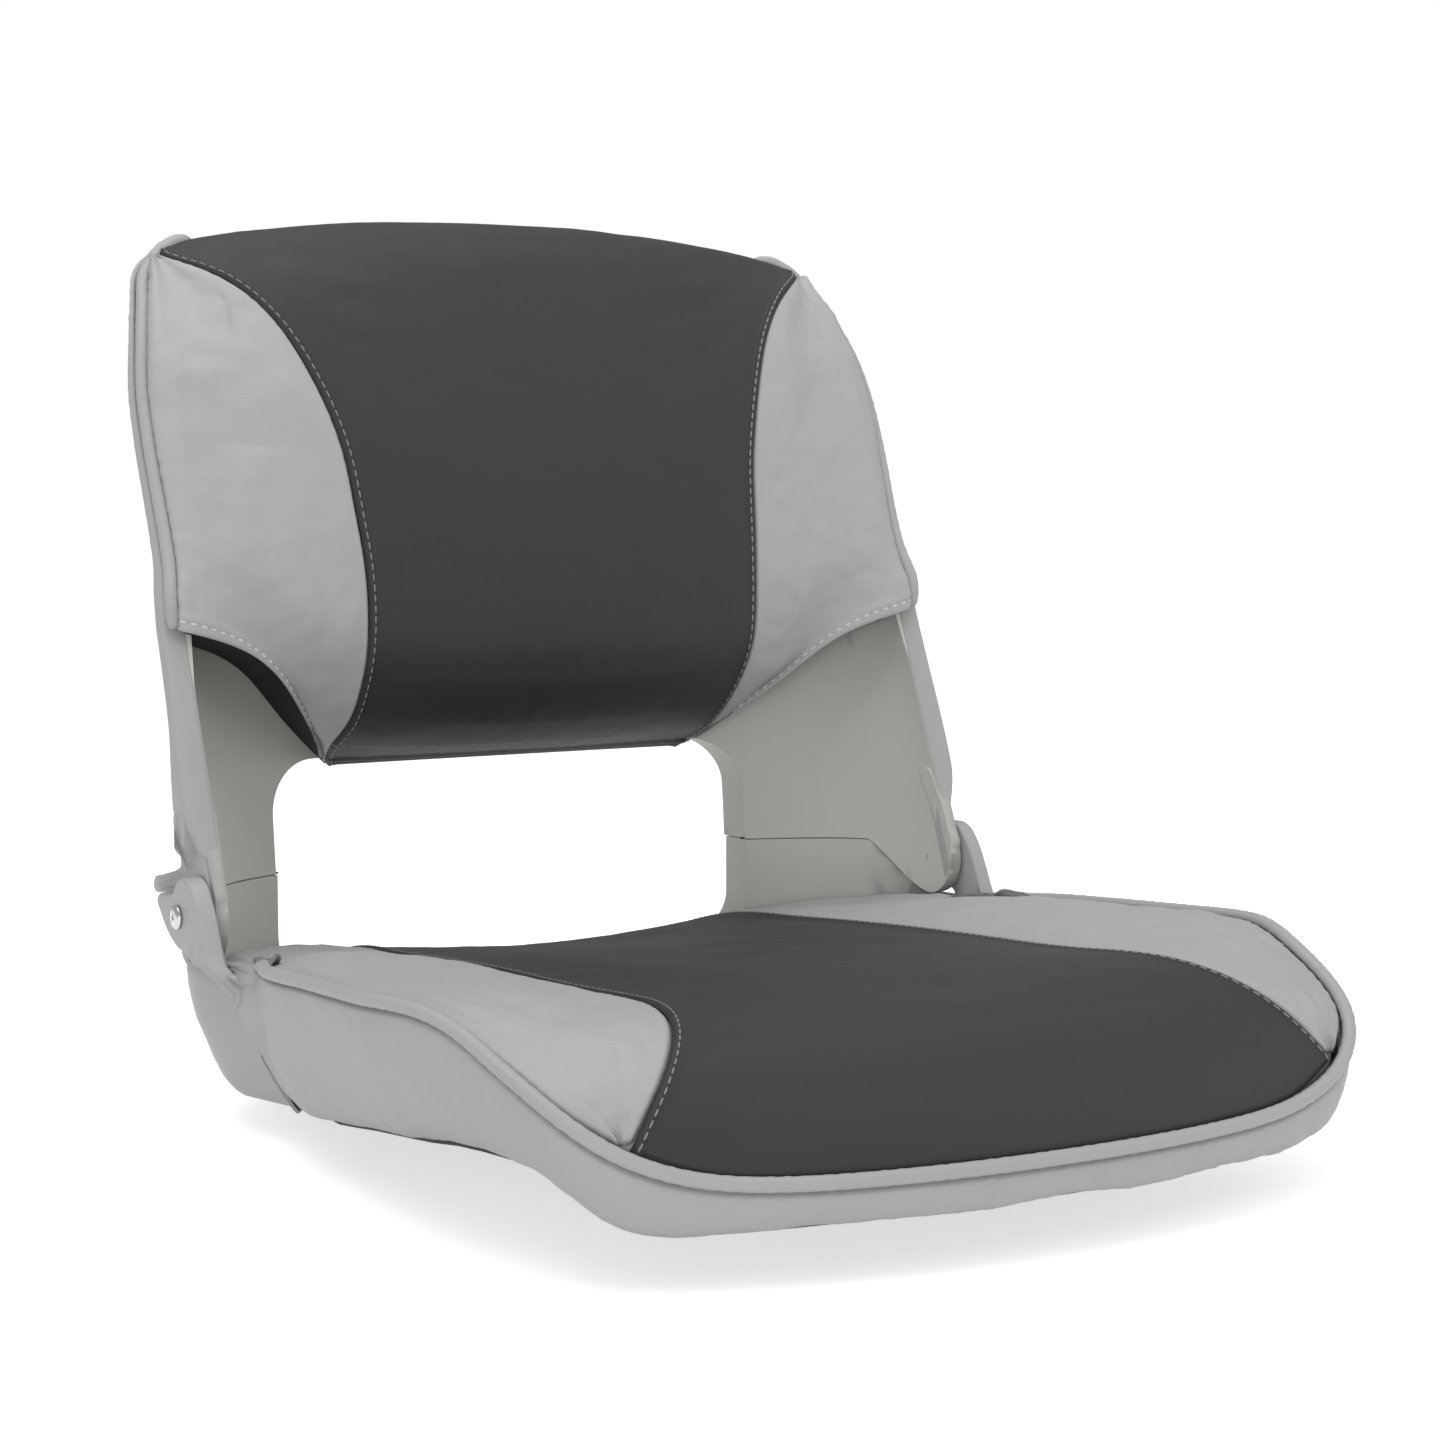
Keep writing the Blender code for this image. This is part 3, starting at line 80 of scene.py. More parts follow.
def softbox(name, place, aim, width, height, power):
    made = bpy.data.lights.new(name, "AREA")
    made.shape = "RECTANGLE"
    made.size, made.size_y = width, height
    made.energy = power
    lamp = bpy.data.objects.new(name, made)
    bpy.context.scene.collection.objects.link(lamp)
    lamp.location = place
    lamp.rotation_mode = "QUATERNION"
    lamp.rotation_quaternion = (Vector(aim) - Vector(place)).to_track_quat("-Z", "Y")


# Shader writing: the maths by Signal, every other node by Shading.node
class Signal:
    """A node's output that takes part in plain arithmetic."""

    def __init__(self, tree, socket):
        self.tree = tree
        self.socket = socket

    def _math(self, operation, first, second=None):
        node = self.tree.nodes.new("ShaderNodeMath")
        node.operation = operation
        for slot, value in zip(node.inputs, (first, second)):
            if isinstance(value, Signal):
                self.tree.links.new(value.socket, slot)
            elif value is not None:
                slot.default_value = value
        return Signal(self.tree, node.outputs[0])

    def __add__(self, other):
        return self._math("ADD", self, other)

    def __sub__(self, other):
        return self._math("SUBTRACT", self, other)

    def __rsub__(self, other):
        return self._math("SUBTRACT", other, self)

    def __mul__(self, other):
        return self._math("MULTIPLY", self, other)

    def __truediv__(self, other):
        return self._math("DIVIDE", self, other)

    def __pow__(self, other):
        return self._math("POWER", self, other)

    def __neg__(self):
        return self._math("MULTIPLY", self, -1.0)

    __radd__ = __add__
    __rmul__ = __mul__

    def beside(self, name):
        """Another output of the same node."""
        return Signal(self.tree, self.socket.node.outputs[name])

    def clamped(self):
        return self._math("MAXIMUM", self._math("MINIMUM", self, 1.0), 0.0)


class Shading:
    """The nodes of one tree. Every node but the maths comes from node()."""

    def __init__(self, tree):
        self.tree = tree

    def node(self, kind, settings=None, output=0, slots=None, **sockets):
        """slots holds inputs by their number, sockets by their name."""
        made = self.tree.nodes.new(kind)
        for key, value in (settings or {}).items():
            if key == "stops":
                ramp = made.color_ramp
                while len(ramp.elements) < len(value):
                    ramp.elements.new(0.5)
                for element, (place, colour) in zip(ramp.elements, value):
                    element.position = place
                    element.color = (*colour, 1.0)
            else:
                setattr(made, key, value)
        for number, value in (slots or {}).items():
            self.feed(made.inputs[number], value)
        for key, value in sockets.items():
            self.feed(made.inputs[key.replace("_", " ")], value)
        return Signal(self.tree, made.outputs[output]) if made.outputs else None

    def feed(self, socket, value):
        if isinstance(value, Signal):
            self.tree.links.new(value.socket, socket)
        else:
            socket.default_value = value

    def mixed(self, share, first, second):
        return self.node("ShaderNodeMix", {"data_type": "RGBA"}, 2, {0: share, 6: first, 7: second})

    def bump(self, height, distance, strength=1.0, under=None):
        sockets = {"Height": height, "Distance": distance, "Strength": strength}
        if under is not None:
            sockets["Normal"] = under
        return self.node("ShaderNodeBump", **sockets)


class Finish(Shading):
    """One material and its nodes."""

    def __init__(self, name):
        self.material = bpy.data.materials.new(name)
        self.material.use_nodes = True
        super().__init__(self.material.node_tree)
        self.shader = self.tree.nodes["Principled BSDF"]

    def shade(self, **sockets):
        for key, value in sockets.items():
            self.feed(self.shader.inputs[key.replace("_", " ")], value)
        return self.material


def rgb(*values):
    return (*values, 1.0)


def vinyl(name, colour, deep, roughness, grain=1.0):
    """Coated fabric: pebbled grain, faint creases, and painted shade: a darker line where the sheet goes in
    to a seam.
    """
    f = Finish(name)
    place = f.node("ShaderNodeTexCoord", output=3)
    broad = f.node("ShaderNodeTexNoise", Vector=place, Scale=9.0, Detail=3.0, Roughness=0.55)
    warp = f.node("ShaderNodeTexNoise", output=1, Vector=place, Scale=420.0, Detail=1.0)
    bent = f.node("ShaderNodeVectorMath", {"operation": "MULTIPLY_ADD"},
                  slots={0: warp, 1: (0.0008, 0.0008, 0.0008), 2: place})
    pebble = f.node("ShaderNodeTexVoronoi", {"feature": "DISTANCE_TO_EDGE"}, Vector=bent, Scale=780.0)
    fine = f.node("ShaderNodeTexNoise", Vector=place, Scale=1500.0, Detail=2.0)
    crease = f.node("ShaderNodeTexNoise", Vector=place, Scale=55.0, Detail=4.0, Roughness=0.6, Distortion=0.6)
    seam = f.node("ShaderNodeAttribute", {"attribute_name": "seam"}, output=2)
    tone = ((broad - 0.5) * 0.9 + (crease - 0.5) * 0.35 + 0.5).clamped()
    plain = f.mixed(tone, rgb(*[c * 0.955 for c in colour]), rgb(*[min(1.0, c * 1.045) for c in colour]))
    # Painted seam shade: the colour darkens to the second colour in the seam grooves
    painted_seam_shaded = f.mixed((seam * 0.75).clamped(), plain, rgb(*deep))
    relief = (pebble * 3.0).clamped() * 0.7 + fine * 0.3
    soft = f.bump(crease, 0.0009, 0.35)
    skin = f.bump(relief, 0.00011 * grain, 0.55, soft)
    sheen = (broad - 0.5) * 0.10 + (1 - pebble) * 0.05 + roughness
    return f.shade(Base_Color=painted_seam_shaded, Roughness=sheen, Normal=skin, Specular_IOR_Level=0.42)


def moulded(name, colour, inner, roughness):
    """Moulded plastic: a fine matte grain with soft flow marks; the webs are a shade greener and painted
    lighter, a painted fill light for their inward faces.
    """
    f = Finish(name)
    place = f.node("ShaderNodeTexCoord", output=3)
    web = f.node("ShaderNodeAttribute", {"attribute_name": "web"}, output=2).clamped()
    flow = f.node("ShaderNodeTexNoise", Vector=place, Scale=14.0, Detail=3.0, Roughness=0.5)
    specks = f.node("ShaderNodeTexNoise", Vector=place, Scale=1900.0, Detail=2.0, Roughness=0.7)
    tone = ((flow - 0.5) * 1.1 + 0.5).clamped()
    # The web colour is a greener tint together with painted fill light
    base = f.mixed(web, rgb(*colour), rgb(*inner))
    dark = f.mixed(web, rgb(*[c * 0.93 for c in colour]), rgb(*[c * 0.93 for c in inner]))
    skin = f.bump(specks, 0.00007, 0.5)
    return f.shade(Base_Color=f.mixed(tone, dark, base), Roughness=(specks - 0.5) * 0.12 + roughness,
                   Normal=skin, Specular_IOR_Level=0.38)


def metal(name, colour, roughness, turned_marks):
    """Metal with fine turning marks."""
    f = Finish(name)
    place = f.node("ShaderNodeTexCoord", output=3)
    marks = f.node("ShaderNodeTexNoise", Vector=place, Scale=turned_marks, Detail=3.0)
    tint = f.mixed(marks, rgb(*[c * 0.85 for c in colour]), rgb(*colour))
    return f.shade(Base_Color=tint, Metallic=1.0, Roughness=(marks - 0.5) * 0.15 + roughness,
                   Normal=f.bump(marks, 0.00003, 0.5))


def plain_grain(name, colour, roughness, scale=900.0, depth=0.0001):
    """A dull solid colour with a fine grain."""
    f = Finish(name)
    place = f.node("ShaderNodeTexCoord", output=3)
    specks = f.node("ShaderNodeTexNoise", Vector=place, Scale=scale, Detail=3.0)
    tint = f.mixed(specks, rgb(*[c * 0.85 for c in colour]), rgb(*[min(1.0, c * 1.1) for c in colour]))
    return f.shade(Base_Color=tint, Roughness=(specks - 0.5) * 0.1 + roughness,
                   Normal=f.bump(specks, depth, 0.5))


def thread_finish(name, colour):
    """Twisted sewing thread."""
    f = Finish(name)
    place = f.node("ShaderNodeTexCoord", output=3)
    twist = f.node("ShaderNodeTexWave", {"wave_type": "BANDS", "bands_direction": "DIAGONAL"},
                   Vector=place, Scale=900.0, Distortion=2.0)
    tint = f.mixed(twist, rgb(*[c * 0.75 for c in colour]), rgb(*colour))
    return f.shade(Base_Color=tint, Roughness=0.7, Normal=f.bump(twist, 0.00008, 0.6))


def floor_finish():
    """A plain pale floor: white to the eye, with the object's shadow on it."""
    f = Finish("floor_white")
    place = f.node("ShaderNodeTexCoord", output=3)
    mottle = f.node("ShaderNodeTexNoise", Vector=place, Scale=3.0, Detail=2.0)
    tint = f.mixed(mottle, rgb(0.93, 0.93, 0.93), rgb(0.95, 0.95, 0.95))
    f.shade(Base_Color=tint, Roughness=0.9, Specular_IOR_Level=0.1)
    ray = f.node("ShaderNodeLightPath", output="Is Camera Ray")
    seen = ray + ray.beside("Is Glossy Ray") + ray.beside("Is Transmission Ray")
    glow = f.node("ShaderNodeEmission", Color=rgb(1.0, 1.0, 1.0), Strength=FLOOR_GLOW)
    matte = Signal(f.tree, f.shader.outputs[0])
    both = f.node("ShaderNodeAddShader", slots={0: matte, 1: glow})
    choice = f.node("ShaderNodeMixShader", slots={0: seen.clamped(), 1: matte, 2: both})
    end = next(n for n in f.tree.nodes if n.type == "OUTPUT_MATERIAL")
    f.feed(end.inputs["Surface"], choice)
    return f.material


# Grids from the CAD
def merged(node):
    """A CAD node's mesh with its corners joined."""
    work = bmesh.new()
    work.from_mesh(NODES[node].data)
    bmesh.ops.remove_doubles(work, verts=work.verts, dist=0.00001)
    return work


def islands(work):
    """The connected groups of a mesh's corners."""
    left, found = set(work.verts), []
    while left:
        start = left.pop()
        group, front = {start}, [start]
        while front:
            for edge in front.pop().link_edges:
                for corner in edge.verts:
                    if corner in left:
                        left.discard(corner)
                        group.add(corner)
                        front.append(corner)
        found.append(group)
    return found


def layered(first_row, count):
    """Rows of a grid, walked from its first row; each later row starts beside the last one."""
    rows, seen = [first_row], set(first_row)
    for _ in range(count - 1):
        row = rows[-1]
        following = set()
        for corner in row:
            for edge in corner.link_edges:
                other = edge.other_vert(corner)
                if other not in seen:
                    following.add(other)
        near = {c: sum(1 for e in c.link_edges if e.other_vert(c) in following) for c in following}
        ends = [c for c in following if near[c] == 1]
        start = next(c for c in ends if any(e.other_vert(c) is row[0] for e in c.link_edges))
        walk, here = [start], start
        while len(walk) < len(following):
            here = next(e.other_vert(here) for e in here.link_edges
                        if e.other_vert(here) in following and e.other_vert(here) not in walk)
            walk.append(here)
        rows.append(walk)
        seen |= following
    return rows


def smooth_groups(work, crease):
    """The groups of a mesh's faces that meet more gently than a crease."""
    left, found = set(work.faces), []
    while left:
        start = left.pop()
        group, front = [start], [start]
        while front:
            for edge in front.pop().edges:
                for face in edge.link_faces:
                    if face in left and edge.calc_face_angle() < crease:
                        left.discard(face)
                        group.append(face)
                        front.append(face)
        found.append(group)
    return found


def grid_of(node, rows, columns, down, across, outward=None, crease=None):
    """The outer face of a CAD cover panel as rows of points, the first row and column being the
    ones from which `down` and `across` point. The outer face is the one that faces `outward`; with
    a crease instead it is built from the inner face."""
    work = merged(node)
    work.normal_update()
    if crease:
        face_count = 2 * (rows - 1) * (columns - 1)
        kept = set(next(g for g in smooth_groups(work, crease) if len(g) == face_count))
        bmesh.ops.delete(work, geom=[f for f in work.faces if f not in kept], context="FACES")
        work.normal_update()
        outer = set(work.verts)
        for corner, way in [(v, v.normal.copy()) for v in outer]:
            corner.co -= way * VINYL
    else:
        posts = sorted(work.edges, key=lambda e: abs(e.calc_length() - VINYL))[:2 * (rows + columns) - 4]
        rim = list({f for e in posts for f in e.link_faces})
        bmesh.ops.delete(work, geom=rim, context="FACES_ONLY")
        bmesh.ops.delete(work, geom=[e for e in work.edges if not e.link_faces], context="EDGES")
        work.normal_update()
        outer = max(islands(work), key=lambda group: sum(v.normal.dot(Vector(outward)) for v in group))
    border = [e for e in work.edges if len(e.link_faces) == 1 and e.verts[0] in outer]
    ways = {}
    for edge in border:
        for corner in edge.verts:
            ways.setdefault(corner, []).append(edge.other_vert(corner))
    loop, here = [border[0].verts[0]], ways[border[0].verts[0]][0]
    while here is not loop[0]:
        loop.append(here)
        here = next(w for w in ways[here] if w is not loop[-2])
    place = np.array([v.co for v in loop])
    before, after = place - np.roll(place, 1, axis=0), np.roll(place, -1, axis=0) - place
    before /= np.linalg.norm(before, axis=1, keepdims=True)
    after /= np.linalg.norm(after, axis=1, keepdims=True)
    turn = 1 - (before * after).sum(axis=1)
    n, steps = len(loop), (columns - 1, rows - 1)
    best = max(((turn[[k % n, (k + s[0]) % n, (k + s[0] + s[1]) % n, (k + 2 * s[0] + s[1]) % n]].sum(), k)
                for s in (steps,) for k in range(n)), key=lambda c: c[0])
    first = [loop[(best[1] + i) % n] for i in range(columns)]
    walked = layered(first, rows)
    grid = np.array([[v.co for v in row] for row in walked])
    work.free()
    if (grid[-1].mean(axis=0) - grid[0].mean(axis=0)) @ np.array(down) < 0:
        grid = grid[::-1]
    if (grid[:, -1].mean(axis=0) - grid[:, 0].mean(axis=0)) @ np.array(across) < 0:
        grid = grid[:, ::-1]
    return grid


def line_of(node, sides, start):
    """The middle line of a CAD tube, from the end nearest to a point."""
    work = merged(node)
    work.verts.ensure_lookup_table()
    tip = min(work.verts, key=lambda v: (v.co - Vector(start)).length)
    ring = set(v for v in work.verts if (v.co - tip.co).length < 0.0066)
    assert len(ring) == sides, (node, len(ring))
    seen, line = set(), []
    while ring:
        seen |= ring
        line.append(np.mean([v.co for v in ring], axis=0))
        ring = {e.other_vert(v) for v in ring for e in v.link_edges} - seen
    work.free()
    return np.array(line)


# Smooth surfaces
def spline(knots, at):
    """The matrix of a natural cubic spline through values at knots, read at places."""
    n, gap = len(knots), np.diff(knots)
    left, right = np.zeros((n, n)), np.zeros((n, n))
    left[0, 0] = left[-1, -1] = 1.0
    for i in range(1, n - 1):
        left[i, i - 1:i + 2] = gap[i - 1], 2 * (gap[i - 1] + gap[i]), gap[i]
        right[i, i - 1:i + 2] = 6 / gap[i - 1], -6 / gap[i - 1] - 6 / gap[i], 6 / gap[i]
    bend = np.linalg.solve(left, right)
    k = np.clip(np.searchsorted(knots, at, side="right") - 1, 0, n - 2)
    h, t = gap[k], at - knots[k]
    u = knots[k + 1] - at
    made = np.zeros((len(at), n))
    rows = np.arange(len(at))
    made[rows, k] += u / h
    made[rows, k + 1] += t / h
    made += ((u**3 / (6 * h) - h * u / 6)[:, None] * bend[k]
             + (t**3 / (6 * h) - h * t / 6)[:, None] * bend[k + 1])
    return made


def dense(grid, axis, count):
    """The grid with one axis read at many places along a smooth curve."""
    work = np.swapaxes(grid, 0, axis)
    step = np.linalg.norm(np.diff(work, axis=0), axis=2).mean(axis=1)
    knots = np.concatenate(([0.0], np.cumsum(step)))
    made = np.tensordot(spline(knots, np.linspace(0, knots[-1], count)), work, axes=(1, 0))
    return np.swapaxes(made, 0, axis)


def spread(width, spacing, count, edges):
    """Places across a strip: fine by each edge that is given in `edges`, even between them."""
    near = np.array((0.0, 0.0005, 0.0010, 0.0016, 0.0023, 0.0030, 0.0037, 0.0044, 0.0052, 0.0064, 0.0080))
    low = near * min(1.0, width / 0.030) if edges[0] else near[:1]
    high = near * min(1.0, width / 0.030) if edges[1] else near[:1]
    inner = np.linspace(low[-1], width - high[-1], count + 2)[1:-1]
    return np.concatenate((low, inner, (width - high)[::-1]))


def spaced(grid, axis, spacing, edges=(True, True)):
    """The grid read again along one axis so that its lines keep their distance from the edges."""
    work = np.swapaxes(dense(grid, axis, 240), 0, axis)
    run = np.concatenate((np.zeros((1, work.shape[1])),
                          np.cumsum(np.linalg.norm(np.diff(work, axis=0), axis=2), axis=0)))
    count = max(3, int(run[-1].mean() / spacing))
    made = []
    for j in range(work.shape[1]):
        at = spread(run[-1, j], spacing, count, edges)
        made.append(np.stack([np.interp(at, run[:, j], work[:, j, c]) for c in range(3)], axis=1))
    made = np.array(made)
    return np.swapaxes(np.swapaxes(made, 0, 1), 0, axis)


def facing(grid):
    """Unit normals of a grid."""
    cell = np.cross(grid[1:, 1:] - grid[:-1, :-1], grid[:-1, 1:] - grid[1:, :-1])
    total = np.zeros_like(grid)
    for i, j in ((0, 0), (0, 1), (1, 0), (1, 1)):
        total[i:i + len(cell), j:j + cell.shape[1]] += cell
    return total / np.maximum(np.linalg.norm(total, axis=2, keepdims=True), 1e-12)


def run_along(grid, axis):
    """How far each point lies from the first and from the last line of an axis."""
    step = np.linalg.norm(np.diff(grid, axis=axis), axis=2)
    start = np.zeros_like(np.take(step, [0], axis=axis))
    run = np.concatenate((start, np.cumsum(step, axis=axis)), axis=axis)
    return run, np.take(run, [-1], axis=axis) - run


def wave_field(points, size, seed, octaves=3):
    """Soft noise at points, about -1 to 1, from a few layers."""
    flat = points.reshape(-1, 3) / size + seed * 7.31
    total = np.zeros(len(flat))
    for k in range(octaves):
        scale = 2.0**k
        total += np.array([noise.noise(Vector(p * scale)) for p in flat]) / scale
    return total.reshape(points.shape[:-1])


def ramp(values, low, high):
    t = np.clip((values - low) / (high - low), 0, 1)
    return t * t * (3 - 2 * t)


def bell(values, middle, width):
    return np.exp(-((values - middle) / width) ** 2)


# Pieces
def piece(name, mesh, finish, body, replaces=()):
    made = bpy.data.objects.new(name, mesh)
    bpy.context.scene.collection.objects.link(made)
    mesh.materials.clear()
    mesh.materials.append(finish)
    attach(made, body)
    if replaces:
        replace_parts(made, *replaces)
    return made


def from_points(name, points, faces, smooth=60.0, seam=None):
    mesh = bpy.data.meshes.new(name)
    mesh.from_pydata([tuple(p) for p in points], [], faces)
    work = bmesh.new()
    work.from_mesh(mesh)
    bmesh.ops.recalc_face_normals(work, faces=work.faces)
    if work.calc_volume(signed=True) < 0:
        bmesh.ops.reverse_faces(work, faces=work.faces)
    work.to_mesh(mesh)
    work.free()
    mesh.shade_smooth()
    mesh.set_sharp_from_angle(angle=math.radians(smooth))
    if seam is not None:
        mesh.attributes.new("seam", "FLOAT", "POINT").data.foreach_set("value", np.ravel(seam))
    return mesh


def skin(name, outer, inner, seam=None, smooth=60.0):
    """A closed sheet between two grids."""
    rows, columns = outer.shape[:2]
    other = rows * columns
    faces = []
    for i in range(rows - 1):
        for j in range(columns - 1):
            a = i * columns + j
            faces.append((a, a + 1, a + columns + 1, a + columns))
            faces.append((a + columns + other, a + columns + 1 + other, a + 1 + other, a + other))
    border = ([j for j in range(columns)] + [i * columns + columns - 1 for i in range(1, rows)]
              + [(rows - 1) * columns + j for j in range(columns - 2, -1, -1)]
              + [i * columns for i in range(rows - 2, 0, -1)])
    for a, b in zip(border, border[1:] + border[:1]):
        faces.append((b, a, a + other, b + other))
    points = np.concatenate((outer.reshape(-1, 3), inner.reshape(-1, 3)))
    # The inner face is marked in full, so it takes the painted seam shade all over
    marks = None if seam is None else np.concatenate((seam.ravel(), np.full(other, 1.0)))
    return from_points(name, points, faces, smooth, marks)


def swept(name, path, profile, closed=False, smooth=60.0):
    """A bar along a path. profile(k) gives the ring of points of station k about its centre."""
    rings = [profile(k) for k in range(len(path))]
    count = len(rings[0])
    points = [p for ring in rings for p in ring]
    faces = []
    for k in range(len(rings) - (0 if closed else 1)):
        n = (k + 1) % len(rings)
        for i in range(count):
            j = (i + 1) % count
            faces.append((k * count + i, k * count + j, n * count + j, n * count + i))
    if not closed:
        faces.append(tuple(range(count)))
        faces.append(tuple(reversed(range((len(rings) - 1) * count, len(rings) * count))))
    return from_points(name, points, faces, smooth)


def read_line(line, spacing):
    """A line read again evenly along a smooth curve."""
    knots = np.concatenate(([0.0], np.cumsum(np.linalg.norm(np.diff(line, axis=0), axis=1))))
    fine = spline(knots, np.linspace(0, knots[-1], 600)) @ line
    run = np.concatenate(([0.0], np.cumsum(np.linalg.norm(np.diff(fine, axis=0), axis=1))))
    at = np.linspace(0, run[-1], max(4, int(run[-1] / spacing)))
    return np.stack([np.interp(at, run, fine[:, c]) for c in range(3)], axis=1), run[-1]


def tube_along(name, line, radius, spacing=0.0022, sides=14, pucker=0.00016):
    """Covered cord: a round bar with the small puckers that its stitches draw in."""
    path, _ = read_line(line, spacing)
    step = np.gradient(path, axis=0)
    step /= np.linalg.norm(step, axis=1, keepdims=True)
    side = np.cross(step, np.array((0.0, 0.0, 1.0)))
    side /= np.linalg.norm(side, axis=1, keepdims=True)
    up = np.cross(side, step)
    turns = np.arange(sides) * math.tau / sides

    def ring(k):
        swell = radius + pucker * math.sin(k * 2.1) * math.sin(k * 0.31 + 1.0)
        end = min(k, len(path) - 1 - k)
        swell *= (0.55, 0.86, 0.97)[end] if end < 3 else 1.0
        return [path[k] + swell * (math.cos(a) * side[k] + math.sin(a) * up[k]) for a in turns]
    return swept(name, path, ring, smooth=70.0)


def stitch_row(name, line, out, finish, body,
               pitch=STITCH_PITCH, length=STITCH_LENGTH, thick=THREAD, sink=0.2):
    """A row of stitches along a line on a surface: each a small bar with rounded ends."""
    run = np.concatenate(([0.0], np.cumsum(np.linalg.norm(np.diff(line, axis=0), axis=1))))
    count = int(run[-1] / pitch)
    at = (np.arange(count) + 0.5) * run[-1] / count

    def read(values, where):
        return np.stack([np.interp(where, run, values[:, c]) for c in range(3)], axis=1)
    spots, ahead, behind = read(line, at), read(line, at + length / 2), read(line, at - length / 2)
    lift = read(out, at)
    ways = ahead - behind
    ways /= np.linalg.norm(ways, axis=1, keepdims=True)
    lift -= (lift * ways).sum(axis=1, keepdims=True) * ways
    lift /= np.linalg.norm(lift, axis=1, keepdims=True)
    across = np.cross(ways, lift)
    shape = ((-0.50, 0.0, -0.9), (-0.44, 0.75, 0.0), (-0.18, 1.0, 0.25), (0.18, 1.0, 0.25), (0.44, 0.75, 0.0),
             (0.50, 0.0, -0.9))
    points, faces = [], []
    for spot, way, high, side in zip(spots, ways, lift, across):
        base = len(points)
        for place, size, rise in shape:
            middle = spot + way * place * length + high * (rise - sink) * thick
            if size == 0.0:
                points.append(middle)
                continue
            for a in range(6):
                turn = a * math.tau / 6
                points.append(middle + thick * size * (math.cos(turn) * side + math.sin(turn) * high * 0.8))
        for a in range(6):
            b = (a + 1) % 6
            faces.append((base, base + 1 + a, base + 1 + b))
            for k in range(3):
                low, top = base + 1 + 6 * k, base + 7 + 6 * k
                faces.append((low + a, top + a, top + b, low + b))
            faces.append((base + 25, base + 19 + b, base + 19 + a))
    mesh = from_points(name, points, faces, 70.0)
    return piece(name, mesh, finish, body)


def cover(grid, edges, crown, folds, swell=None, puckers=0.00022, streaks=0.0):
    """A sewn cover panel's face, its normals and how near each point is to a seam. `edges` says
    what each side is: first and last row, first and last column."""
    fine = [kind != "open" for kind in edges]
    made = spaced(grid, 0, PANEL_STEP, fine[:2])
    made = spaced(made, 1, PANEL_STEP, fine[2:])
    out = facing(made)
    down, across = run_along(made, 0), run_along(made, 1)
    # seam is the mask of the painted shade in the seam grooves and along the stitch lines
    lift = np.zeros(made.shape[:2])
    seam = np.zeros(made.shape[:2])
    broad = wave_field(made, 0.042, 3.0, 2)
    small = wave_field(made, 0.011, 5.0, 2)
    ridge = 1 - np.abs(wave_field(made, 0.024, 11.0, 1)) * 4.0
    patch = ramp(wave_field(made, 0.070, 17.0, 1), -0.05, 0.35)
    sides = (down[0], down[1], across[0], across[1])
    alongs = (across[0], across[0], down[0], down[0])
    for kind, away, along in zip(edges, sides, alongs):
        gather = np.sin(along * math.tau / 0.0078 + 5.0 * broad) * (0.6 + small)
        if kind == "fell":
            lift += (-0.0013 * bell(away, 0.0, 0.0009) + 0.00055 * ramp(away, 0.0004, 0.0016)
                     * (1 - ramp(away, 0.0042, 0.0056)) - 0.00045 * bell(away, 0.0037, 0.0007))
            lift += 0.35 * puckers * gather * np.exp(-away / 0.006)
            seam = np.maximum(seam, np.maximum(bell(away, 0.0, 0.0010), 0.35 * bell(away, 0.0037, 0.0005)))
        elif kind == "seam":
            lift += -0.0014 * bell(away, 0.0, 0.0011) - 0.0006 * np.exp(-away / 0.006)
            lift += puckers * gather * np.exp(-away / 0.007)
            seam = np.maximum(seam, bell(away, 0.0, 0.0010))
        elif kind == "piping":
            lift += -0.0012 * bell(away, 0.0, 0.0014) - 0.0007 * np.exp(-away / 0.007)
            lift += 1.3 * puckers * gather * np.exp(-away / 0.009)
            seam = np.maximum(seam, bell(away, 0.0, 0.0012))
        elif kind == "hem":
            lift += (0.0011 * (1 - ramp(away, 0.0085, 0.0100)) - 0.0008 * bell(away, 0.0, 0.0008)
                     - 0.0005 * bell(away, 0.0052, 0.0008))
            lift += puckers * gather * bell(away, 0.0052, 0.0030)
            seam = np.maximum(seam, 0.3 * bell(away, 0.0052, 0.0006))
    inner = np.minimum.reduce([away for kind, away in zip(edges, sides) if kind != "open"])
    lift += crown * ramp(inner, 0.0, 0.020)
    lift += folds * (broad * ramp(inner, 0.002, 0.018)
                     + (0.30 * small - 0.45 * ramp(ridge, 0.55, 1.0) * patch) * ramp(inner, 0.002, 0.010))
    if streaks:
        rim = min((away for kind, away in zip(edges, sides) if kind == "piping"), key=lambda a: a.mean())
        lengthwise = down[0] if edges[2] == "piping" or edges[3] == "piping" else across[0]
        flow = np.stack((lengthwise / 0.085, rim / 0.0085, broad * 0.6), axis=2)
        lines = np.array([noise.noise(Vector(p)) for p in flow.reshape(-1, 3)]).reshape(rim.shape)
        lift += (streaks * lines * ramp(rim, 0.003, 0.010) * (1 - ramp(rim, 0.020, 0.045))
                 * ramp(inner, 0.002, 0.010))
    if swell is not None:
        made = made + swell(made) * ramp(inner, 0.0005, 0.012)[..., None]
    made = made + out * lift[..., None]
    return made, facing(made), seam


def finish_cover(name, made, out, seam, finish, body, replaces, depth=VINYL):
    mesh = skin(name, made, made - out * depth, seam, 60.0)
    return piece(name, mesh, finish, body, replaces)


